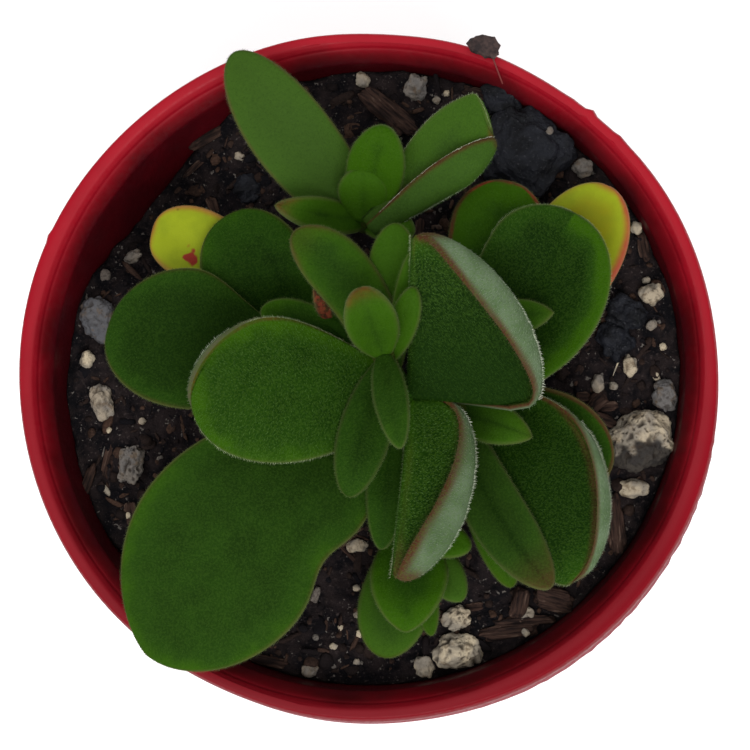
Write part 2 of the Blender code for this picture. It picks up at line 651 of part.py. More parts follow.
def main():
    clear_scene()
    parts = new_collection("potted_crassula")
    cutters = new_collection("cutters")
    beds = new_collection("beds")
    make_pot(parts, cutters)
    soil = make_soil(parts)
    for seed, row in enumerate(STONES):
        make_loose(parts, beds, row, "pumice", seed + 1, 0.85, 0.35)
    for seed, row in enumerate(BARK):
        slot = "charcoal" if row[0].startswith("charcoal") else "bark"
        make_loose(parts, beds, row, slot, seed + 50, 0.6, 0.3)
    for name, shoot in SHOOTS.items():
        make_shoot(name, shoot, parts, beds)
    for name, form in OLD_LEAVES.items():
        make_leaf(name, form, seen(*form["root"]), seen(*form["tip"]), parts, "yellow_leaf")
    make_scrap(parts)
    combine(soil, beds, "DIFFERENCE")
    for old in (cutters, beds):
        bpy.data.collections.remove(old)


main()
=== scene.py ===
# %% [markdown]
# # A hairy crassula in its red pot
# We dress a finished solid model of a potted plant. The model gives the sizes and the places; this script
# gives the looks: leaves with more than a hundred thousand hairs, moulded plastic, and a bed of bark and pale
# stones. Each step has a short note on what the thing is, how it could be made, and why this way was chosen.

# %% Load the model
import json
import math
import random

import bmesh
import bpy
from mathutils import Matrix, Vector, noise
from mathutils.bvhtree import BVHTree

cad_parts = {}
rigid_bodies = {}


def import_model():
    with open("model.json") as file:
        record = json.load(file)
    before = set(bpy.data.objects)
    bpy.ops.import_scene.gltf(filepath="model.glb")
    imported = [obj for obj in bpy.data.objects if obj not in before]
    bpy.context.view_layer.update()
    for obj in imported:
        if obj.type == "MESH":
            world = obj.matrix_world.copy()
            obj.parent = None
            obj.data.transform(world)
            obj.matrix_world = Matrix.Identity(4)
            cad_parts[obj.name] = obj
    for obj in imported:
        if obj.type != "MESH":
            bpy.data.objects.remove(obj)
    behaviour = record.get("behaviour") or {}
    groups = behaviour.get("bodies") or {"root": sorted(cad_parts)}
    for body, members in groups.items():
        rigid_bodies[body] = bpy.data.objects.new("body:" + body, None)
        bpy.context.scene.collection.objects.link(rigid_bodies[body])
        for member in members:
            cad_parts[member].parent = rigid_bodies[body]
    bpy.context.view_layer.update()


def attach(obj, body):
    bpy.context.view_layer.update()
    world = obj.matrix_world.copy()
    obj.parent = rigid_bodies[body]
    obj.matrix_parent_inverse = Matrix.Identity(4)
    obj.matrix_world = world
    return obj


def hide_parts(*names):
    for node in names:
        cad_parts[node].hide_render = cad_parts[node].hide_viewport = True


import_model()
MM = 0.001

# %% [markdown]
# ## Where the camera stands
# The camera is a little over half a metre above the table, and leans some ten degrees towards the front and
# the right. One eye point and one aim point say this best, because the leaves below are laid out along the
# same lines of sight. A camera looks down its own -Z, so its axes can be built from two cross products.

# %% Camera
RIM_RADIUS = 50.0
RIM_HEIGHT = 85.0
EYE = Vector((36.3, -66.4, RIM_HEIGHT + 443.8))
AIM = Vector((1.4, -0.8, RIM_HEIGHT))
SHEET_MIDDLE = (0.9, 0.3)
SIGHT = (AIM - EYE).normalized()
SHEET_RIGHT = SIGHT.cross(Vector((0.0, 1.0, 0.0))).normalized()
SHEET_UP = SHEET_RIGHT.cross(SIGHT)
SENSOR = 36.0
PICTURE_WIDTH = 750.0
FOCAL_PIXELS = 3155.0


def new_object(name, data):
    """An object that shows some data, put into the scene."""
    made = bpy.data.objects.new(name, data)
    bpy.context.scene.collection.objects.link(made)
    return made


camera = new_object("camera", bpy.data.cameras.new("camera"))
camera.data.sensor_width = SENSOR
camera.data.lens = SENSOR * FOCAL_PIXELS / PICTURE_WIDTH
turn = Matrix((SHEET_RIGHT, SHEET_UP, -SIGHT)).transposed().to_4x4()
camera.matrix_world = Matrix.Translation(EYE * MM) @ turn
bpy.context.scene.camera = camera
print("lens:", round(camera.data.lens, 1), "mm, distance:", round((AIM - EYE).length), "mm")


def seen(x, y, z):
    """Point at height z that shows at (x, y) of the layout sheet, which is square to the line of sight."""
    way = AIM + SHEET_RIGHT * (x - SHEET_MIDDLE[0]) + SHEET_UP * (y - SHEET_MIDDLE[1]) - EYE
    return EYE + way * ((z - EYE.z) / way.z)


# %% [markdown]
# ## Light
# The plant is lit from all round, as near a big window on a bright day. A white world gives that light, and
# two large lamps, in front and at the left, give the leaves their soft shading. The standard view keeps the
# greens and the crimson as deep as they are.

# %% Light
LAMPS = (
    # place in metres, size in metres, power in watts
    ((0.1, -0.5, 0.8), 0.6, 7.0),
    ((-0.55, 0.0, 0.8), 0.5, 1.5),
)
LAMP_AIM = Vector((0.0, 0.0, 0.09))

world = bpy.data.worlds.new("studio")
world.use_nodes = True
world.node_tree.nodes["Background"].inputs["Color"].default_value = (1.0, 1.0, 1.0, 1.0)
world.node_tree.nodes["Background"].inputs["Strength"].default_value = 1.0
bpy.context.scene.world = world
bpy.context.scene.view_settings.view_transform = "Standard"
for number, (place, size, power) in enumerate(LAMPS, 1):
    lamp = bpy.data.lights.new(f"softbox_{number}", "AREA")
    lamp.shape = "DISK"
    lamp.size = size
    lamp.energy = power
    holder = new_object(f"softbox_{number}", lamp)
    holder.location = place
    holder.rotation_euler = (Vector(place) - LAMP_AIM).to_track_quat("Z", "Y").to_euler()
print("lamps:", len(LAMPS))

# %% [markdown]
# ## Small helpers for materials
# A material is a small machine of nodes. Setting nodes up one call at a time hides the idea, so `add` makes a
# node and fills its inputs in one go: an input is given a number, a colour or another node's output. `mix`,
# `spread`, `speckle`, `cells` and `bumps` are the five little machines that most finishes are made of.

# %% Material helpers
VECTOR_MATHS = "ShaderNodeVectorMath"


def socket_of(sockets, name=None):
    """The first socket in use, or the first in use with that name."""
    return next(one for one in sockets if one.enabled and name in (None, one.name))


def feed(tree, target, value):
    """Give an input a constant, or wire another node's output to it."""
    if isinstance(value, bpy.types.NodeSocket):
        tree.links.new(value, target)
    else:
        target.default_value = value


def add(tree, kind, inputs=None, **settings):
    """Add a node and return it; an input may be a value or another node's output."""
    made = tree.nodes.new(kind)
    for name, value in settings.items():
        setattr(made, name, value)
    for name, value in (inputs or {}).items():
        feed(tree, socket_of(made.inputs, name), value)
    return made


def mix(tree, share, first, second, blend="MIX"):
    """Two colours mixed by a share, or blended in another way."""
    made = add(tree, "ShaderNodeMix", data_type="RGBA", blend_type=blend)
    for name, value in (("Factor", share), ("A", first), ("B", second)):
        feed(tree, socket_of(made.inputs, name), (*value, 1.0) if isinstance(value, tuple) else value)
    return socket_of(made.outputs)


def spread(tree, value, low, high, to_low=0.0, to_high=1.0):
    """Stretch the numbers from low to high over other ones, softly and without going past them."""
    inputs = {"Value": value, "From Min": low, "From Max": high, "To Min": to_low, "To Max": to_high}
    return socket_of(add(tree, "ShaderNodeMapRange", inputs, interpolation_type="SMOOTHSTEP").outputs)


def speckle(tree, place, size_mm, detail=3.0, rough=0.55):
    """Cloudy noise whose blobs are about size_mm across."""
    inputs = {"Vector": place, "Scale": 1.0 / (size_mm * MM), "Detail": detail, "Roughness": rough}
    return socket_of(add(tree, "ShaderNodeTexNoise", inputs).outputs)


def cells(tree, place, size_mm):
    """Distance to the middle of the nearest of many small cells."""
    inputs = {"Vector": place, "Scale": 1.0 / (size_mm * MM)}
    return socket_of(add(tree, "ShaderNodeTexVoronoi", inputs).outputs, "Distance")


def bumps(tree, height, depth_mm, strength=1.0, under=None):
    """A normal that makes the light fall as on a relief."""
    inputs = {"Height": height, "Distance": depth_mm * MM, "Strength": strength}
    if under:
        inputs["Normal"] = under
    return socket_of(add(tree, "ShaderNodeBump", inputs).outputs)


def maths(tree, operation, *values, kind="ShaderNodeMath"):
    """A calculation on numbers or outputs, filled into the inputs that the operation has."""
    made = add(tree, kind, operation=operation)
    for target, value in zip([one for one in made.inputs if one.enabled], values):
        feed(tree, target, value)
    return socket_of(made.outputs)


def times(tree, first, second):
    return maths(tree, "MULTIPLY", first, second)


def grey_of(tree, value):
    """A grey as bright as a number, to multiply a colour with."""
    channels = {"Red": value, "Green": value, "Blue": value}
    return socket_of(add(tree, "ShaderNodeCombineColor", channels).outputs)


def attribute(tree, name, output="Fac"):
    made = add(tree, "ShaderNodeAttribute", attribute_name=name)
    return socket_of(made.outputs, output)


def new_material(name, **shader_values):
    """A Principled material, its tree, its shader and the place on the object."""
    made = bpy.data.materials.new(name)
    made.use_nodes = True
    tree = made.node_tree
    shader = tree.nodes["Principled BSDF"]
    for title, value in shader_values.items():
        shader.inputs[title.replace("_", " ")].default_value = value
    place = socket_of(add(tree, "ShaderNodeTexCoord").outputs, "Object")
    return made, tree, shader, place


def wire(tree, shader, **outputs):
    """Join outputs to the shader's inputs of the same names."""
    for title, output in outputs.items():
        tree.links.new(output, shader.inputs[title.replace("_", " ")])


print("material helpers are ready")

# %% [markdown]
# ## Small helpers for pieces
# Every shape below is drawn in millimetres and stored in metres. `mesh_from` turns a bmesh into a mesh.
# `show` makes an object of it, gives it a material, hangs it on the model's root body and hides the model's
# solids that it stands for. `paint` stores one number for each point, which a material can read: that is how
# a leaf knows where its margin is.

# %% Piece helpers


def mesh_from(name, shape):
    """A mesh in metres from a shape in millimetres, which is used up."""
    shape.normal_update()
    bmesh.ops.scale(shape, vec=(MM, MM, MM), verts=shape.verts)
    mesh = bpy.data.meshes.new(name)
    shape.to_mesh(mesh)
    shape.free()
    return mesh


def show(name, mesh, look, slot, *nodes):
    """Put a mesh in the scene as a piece of the part that stands for some of the model's solids."""
    made = new_object(name, mesh)
    if look:
        mesh.materials.clear()
        mesh.materials.append(look)
    mesh.shade_smooth()
    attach(made, "root")
    if nodes:
        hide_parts(*nodes)
    return made


def paint(mesh, name, values, kind="FLOAT"):
    """Store a number, or a vector, on each point."""
    layer = mesh.attributes.new(name, kind, "POINT")
    if kind == "FLOAT":
        layer.data.foreach_set("value", values)
    else:
        layer.data.foreach_set("vector", [part for value in values for part in value])


def triangles(mesh):
    mesh.calc_loop_triangles()
    return len(mesh.loop_triangles)


print("piece helpers are ready")

# %% [markdown]
# ## Floor
# The plant stands on plain white. The floor glows a little, as a light table does, so that it stays white
# behind the pot. It is staging, not a piece of the part.

# %% Floor
FLOOR_SIZE = 6.0

pale_floor, tree, shader, place = new_material("pale_floor", Roughness=0.7, Emission_Strength=0.08,
                                               Emission_Color=(1.0, 1.0, 1.0, 1.0))
grain = speckle(tree, place, 40.0, 2.0)
wire(tree, shader, Base_Color=mix(tree, grain, (0.93, 0.93, 0.93), (0.96, 0.96, 0.96)))
shape = bmesh.new()
bmesh.ops.create_grid(shape, x_segments=8, y_segments=8, size=FLOOR_SIZE / 2.0 / MM)
floor = new_object("floor", mesh_from("floor", shape))
floor.data.materials.append(pale_floor)
print("floor:", FLOOR_SIZE, "m square")

# %% [markdown]
# ## The pot
# A thin pot of moulded crimson plastic. It is round, so it is a profile turned about the middle. Blender's
# Screw modifier could turn it, but this pot isn't the same all round: it is warped, and has small bumps on
# its rim and a ragged skirt. Turning the profile in a loop lets each point be nudged by its angle.

# %% Pot profile
BAND_WIDTH = 1.8
BEVEL_WIDTH = 2.7
BEVEL_DROP = 3.0
SKIRT_DROP = 9.0
PLASTIC = 1.1
FOOT_RADIUS = 34.2
FOOT_WIDTH = 2.2
FLOOR_LIFT = 1.6
FLOOR_TOP = 3.2
POT_STEPS = 288
ROUND_STEPS = 4
GROOVE_OUT = 0.6
CORNER = 0.35


def inner_radius(z):
    """Radius of the pot's inner wall at a height."""
    share = (z - FLOOR_TOP) / (RIM_HEIGHT - BEVEL_DROP - FLOOR_TOP)
    return FOOT_RADIUS - PLASTIC + share * (RIM_RADIUS - BAND_WIDTH - BEVEL_WIDTH - FOOT_RADIUS + PLASTIC)


def rounded(points, reach):
    """The same line with each corner rounded over at most `reach` millimetres of its sides."""
    line = [Vector(points[0])]
    for before, corner, after in zip(points, points[1:], points[2:]):
        before, corner, after = Vector(before), Vector(corner), Vector(after)
        back = min(reach, (before - corner).length * 0.45)
        ahead = min(reach, (after - corner).length * 0.45)
        start = corner + (before - corner).normalized() * back
        end = corner + (after - corner).normalized() * ahead
        for step in range(ROUND_STEPS + 1):
            share = step / ROUND_STEPS
            line.append(start.lerp(corner, share).lerp(corner.lerp(end, share), share))
    line.append(Vector(points[-1]))
    return line


def pot_profile():
    """The pot's section from the middle of its floor, up inside, over the rim and down to its underside."""
    bevel_foot = RIM_HEIGHT - BEVEL_DROP
    band_in = RIM_RADIUS - BAND_WIDTH
    skirt_in = RIM_RADIUS - PLASTIC
    wall_top = inner_radius(bevel_foot)
    bevel = []
    for share, groove in ((0.4, 0.0), (0.72, 0.0), (0.84, 0.08), (0.94, 0.0)):
        radius = wall_top + (band_in - 0.5 - wall_top) * share
        bevel.append((radius + groove * GROOVE_OUT, bevel_foot + (BEVEL_DROP - 0.6) * share - groove))
    inside = [(0.0, FLOOR_TOP), (inner_radius(FLOOR_TOP), FLOOR_TOP), (wall_top, bevel_foot)]
    over = [(band_in - 0.5, RIM_HEIGHT - 0.6), (band_in + 0.1, RIM_HEIGHT - 0.05),
            (RIM_RADIUS - 0.4, RIM_HEIGHT), (RIM_RADIUS, RIM_HEIGHT - 1.1),
            (RIM_RADIUS, RIM_HEIGHT - SKIRT_DROP), (skirt_in, RIM_HEIGHT - SKIRT_DROP),
            (skirt_in, RIM_HEIGHT - 2.1), (wall_top + PLASTIC + 0.2, bevel_foot - 0.9)]
    under = [(FOOT_RADIUS, FLOOR_TOP), (FOOT_RADIUS - 0.1, 0.0), (FOOT_RADIUS - FOOT_WIDTH, 0.0),
             (FOOT_RADIUS - FOOT_WIDTH - 0.2, FLOOR_LIFT), (0.0, FLOOR_LIFT)]
    return rounded(inside + bevel + over + under, CORNER)


print("points in the pot's profile:", len(pot_profile()))

# %% Turn the pot
HOLE_COUNT = 6
HOLE_RADIUS = 4.0
HOLE_CIRCLE = 21.0
HOLE_SIDES = 40
DRILL_LENGTH = 8.0
BUMPS = (
    # degrees round the rim, outward size and half width in millimetres
    (48.5, 0.55, 0.55), (42.0, 0.4, 0.5), (156.0, 0.25, 0.5), (53.0, 0.25, 0.4),
)
WARPS = (
    # degrees round the pot, outward size in millimetres and half width in degrees
    (56.0, -0.65, 16.0), (86.0, -0.5, 12.0), (160.0, 0.45, 24.0), (246.0, -0.3, 14.0),
)
FLARE_MIDDLE = -38.0
FLARE_HALF_WIDTH = 34.0
FLARE = 0.7
LIP = 0.1
RAGGED = 0.22
BUMP_HEIGHT = 2.5
RAGGED_BELOW = 2.0


def around(reach, angle):
    """The x and y of a point at a distance from the middle and an angle."""
    return reach * math.cos(angle), reach * math.sin(angle)


def turned_away(angle, degrees):
    """How far an angle is from a number of degrees, the shorter way round, in radians."""
    return math.remainder(angle - math.radians(degrees), math.tau)


def rim_fault(angle, z):
    """How far the moulded rim stands out of true at an angle, in millimetres."""
    if z < RIM_HEIGHT - SKIRT_DROP - 0.6:
        return 0.0
    out = 0.0
    for degrees, size, half_width in WARPS:
        away = turned_away(angle, degrees) / math.radians(half_width)
        out += size * math.exp(-away * away)
    for degrees, size, half_width in BUMPS:
        away = turned_away(angle, degrees) * RIM_RADIUS / half_width
        out += size * math.exp(-away * away) * (1.0 if z > RIM_HEIGHT - BUMP_HEIGHT else 0.0)
    away = turned_away(angle, FLARE_MIDDLE) / math.radians(FLARE_HALF_WIDTH)
    flared = math.exp(-(away ** 4))
    ragged = noise.noise(Vector((angle * 40.0, 0.0, 4.0)))
    ragged += 0.5 * noise.noise(Vector((angle * 90.0, 7.0, 1.0)))
    low = min(max((RIM_HEIGHT - RAGGED_BELOW - z) / (SKIRT_DROP - RAGGED_BELOW), 0.0), 1.0)
    return out + (FLARE + LIP * low + ragged * RAGGED * low ** 3) * flared


def make_pot():
    """The profile turned about the middle, each point moved by the fault of the rim at its angle."""
    shape = bmesh.new()
    rings = []
    for radius, z in pot_profile():
        if radius < 0.01:
            rings.append([shape.verts.new((0.0, 0.0, z))])
            continue
        ring = []
        for step in range(POT_STEPS):
            angle = math.tau * step / POT_STEPS
            fault = rim_fault(angle, z) if radius > RIM_RADIUS - PLASTIC - 0.5 else 0.0
            ring.append(shape.verts.new((*around(radius + fault, angle), z)))
        rings.append(ring)
    for first, second in zip(rings, rings[1:]):
        for step in range(POT_STEPS):
            after = (step + 1) % POT_STEPS
            corners = [first[step % len(first)], first[after % len(first)],
                       second[after % len(second)], second[step % len(second)]]
            shape.faces.new(list(dict.fromkeys(corners)))
    bmesh.ops.recalc_face_normals(shape, faces=shape.faces)
    return mesh_from("pot", shape)


def make_hole_cutters():
    """A ring of short round bars, to be cut out of the pot's floor."""
    shape = bmesh.new()
    for index in range(HOLE_COUNT):
        place = Vector((*around(HOLE_CIRCLE, math.tau * (index + 0.5) / HOLE_COUNT), FLOOR_LIFT))
        made = bmesh.ops.create_cone(shape, cap_ends=True, segments=HOLE_SIDES, radius1=HOLE_RADIUS,
                                     radius2=HOLE_RADIUS, depth=DRILL_LENGTH)
        bmesh.ops.translate(shape, vec=place, verts=made["verts"])
    return mesh_from("hole_cutters", shape)


def plain_mesh(target):
    """The object's mesh as its modifiers leave it, as a mesh of its own."""
    graph = bpy.context.evaluated_depsgraph_get()
    graph.update()
    return bpy.data.meshes.new_from_object(target.evaluated_get(graph))


drilled = new_object("drilled", make_pot())
drill = new_object("drill", make_hole_cutters())
cut = drilled.modifiers.new("drain_holes", "BOOLEAN")
cut.object = drill
cut.operation = "DIFFERENCE"
pot_mesh = plain_mesh(drilled)
for helper in (drilled, drill):
    bpy.data.objects.remove(helper)
print("pot triangles:", triangles(pot_mesh))

# %% [markdown]
# ### Crimson plastic
# New plastic is one colour all over. The flat band on top is bright, with painted light that makes it
# brighter at the back and painted shade that makes it darker at the front. The bevel is painted a deeper red
# and the inner wall almost maroon, as painted shade where the plastic slopes down into the pot. Nearly all of
# it comes from a point's distance from the pot's middle and its height. The gloss is low on the outer wall
# and the skirt, which would mirror the white floor and look pale.

# %% Plastic
crimson, tree, shader, place = new_material("crimson_plastic", Roughness=0.42, Specular_IOR_Level=0.14)
parts = add(tree, "ShaderNodeSeparateXYZ", {"Vector": place})
flat = add(tree, "ShaderNodeCombineXYZ", {"X": parts.outputs["X"], "Y": parts.outputs["Y"]})
radius = maths(tree, "LENGTH", flat.outputs[0], kind=VECTOR_MATHS)
height = parts.outputs["Z"]
cloud = speckle(tree, place, 9.0, 4.0)
dust = speckle(tree, place, 0.7, 4.0, 0.7)
wobble = maths(tree, "ADD", radius, spread(tree, cloud, 0.3, 0.7, -0.0004, 0.0004))
# Painted shade: inside the flat band, the bevel and the wall are painted a deeper red.
on_band = spread(tree, wobble, 0.0462, 0.0486)
# Painted shade: the steep inner wall, down in the pot, is painted nearly maroon.
wall_shade_reach = spread(tree, wobble, 0.0466, 0.0454)
painted_wall_shade = times(tree, wall_shade_reach, spread(tree, height, 0.0, 0.002))
skirt = times(tree, spread(tree, height, 0.0835, 0.081), spread(tree, radius, 0.0488, 0.0494))
WALL_SLOPE = (inner_radius(80.0) - inner_radius(0.0)) / 80.0
wall_line = maths(tree, "MULTIPLY_ADD", height, WALL_SLOPE, inner_radius(0.0) * MM)
off_wall = maths(tree, "SUBTRACT", radius, wall_line)
outside = spread(tree, off_wall, 0.0004, 0.0008)
outer_wall = times(tree, outside, spread(tree, height, 0.0815, 0.0805))
# Painted light and shade: the plastic is painted brighter towards the back and darker towards the front.
painted_light_front_to_back = spread(tree, parts.outputs["Y"], -0.05, 0.05, 0.66, 1.42)
red = mix(tree, on_band, (0.05, 0.0004, 0.0016), (0.195, 0.0024, 0.008))
red = mix(tree, 1.0, red, grey_of(tree, painted_light_front_to_back), "MULTIPLY")
red = mix(tree, painted_wall_shade, red, (0.03, 0.0005, 0.002))
red = mix(tree, outer_wall, red, (0.17, 0.0026, 0.009))
red = mix(tree, skirt, red, (0.16, 0.004, 0.013))
red = mix(tree, spread(tree, cloud, 0.35, 0.75, 0.0, 0.25), red, (0.12, 0.001, 0.005))
grit = times(tree, spread(tree, dust, 0.66, 0.72), spread(tree, wobble, 0.0478, 0.0462))
red = mix(tree, times(tree, grit, 0.75), red, (0.016, 0.01, 0.01))
rough = spread(tree, dust, 0.3, 0.75, 0.36, 0.6)
skin = bumps(tree, speckle(tree, place, 0.5, 3.0), 0.02, 0.2)
gloss = spread(tree, outer_wall, 0.0, 1.0, 0.14, 0.07)
gloss = times(tree, gloss, spread(tree, skirt, 0.0, 1.0, 1.0, 0.35))
gloss = times(tree, gloss, spread(tree, radius, 0.05, 0.0488, 0.35, 1.0))
wire(tree, shader, Base_Color=red, Roughness=rough, Specular_IOR_Level=gloss,
     Normal=bumps(tree, cloud, 0.12, 0.5, skin))
show("moulded_pot", pot_mesh, crimson, "red_plastic", "pot")
pot_mesh.set_sharp_from_angle(angle=math.radians(50))

# %% [markdown]
# ## How a leaf is described
# All the leaves are one kind of shape, so one function makes them all, and each leaf is a line of numbers:
# where it leaves its stem, where its tip is seen, how wide it is, how it rises and droops, and how far each
# half folds. They could be sculpted one at a time, but then a change to how leaves look would mean starting
# again. Four numbers in brackets are the finish: how fresh a green, how dusty, how red a rim, how brown a
# tip. A narrow half that is turned down hides behind the other: that gives the leaves that look like hoods.

# %% Leaf descriptions


def half(width, tilt=8.0, fold_at=(1.0, 1.0), fold=0.0, red=1.0, lit=0.45, lash=0.0, **shape):
    """One side of a leaf: width, slope and fold, then its red share and its share of painted light, a
    brighter green near the margin of the upper face, how pale the lashes of a folded margin are, and outline
    values of its own."""
    return {"width": width, "tilt": tilt, "fold_at": fold_at, "fold": fold, "red": red, "lit": lit,
            "lash": lash, "shape": shape}


def leaf(at, tip, width, finish, rise=20.0, droop=5.0, widest=0.6, neck=0.4, foot=0.9, point=0.55,
         tilt=10.0, thick=2.2, bow=0.0, root=None, left=None, right=None, under=0.45, pelt=0.25, band=0.8,
         rib=0.4, comb=0.7, dawn=0.3, cast=0.2, waist=0.0):
    """A leaf: height on the stem, its tip, finish and form; then how silver its back is, how pale its hairs,
    how wide its red band, how dark its rib, how far the hairs lean to the tip, how much fresher the tip is,
    how red the face is beside a folded margin, and how far the sides are drawn in halfway."""
    return {
        "at": at, "tip": tip, "finish": finish, "rise": rise, "droop": droop, "widest": widest, "neck": neck,
        "foot": foot, "point": point, "thick": thick, "bow": bow, "root": root, "under": under, "pelt": pelt,
        "band": band, "rib": rib, "comb": comb, "dawn": dawn, "cast": cast, "waist": waist,
        "left": left or half(width, tilt), "right": right or half(width, tilt),
    }


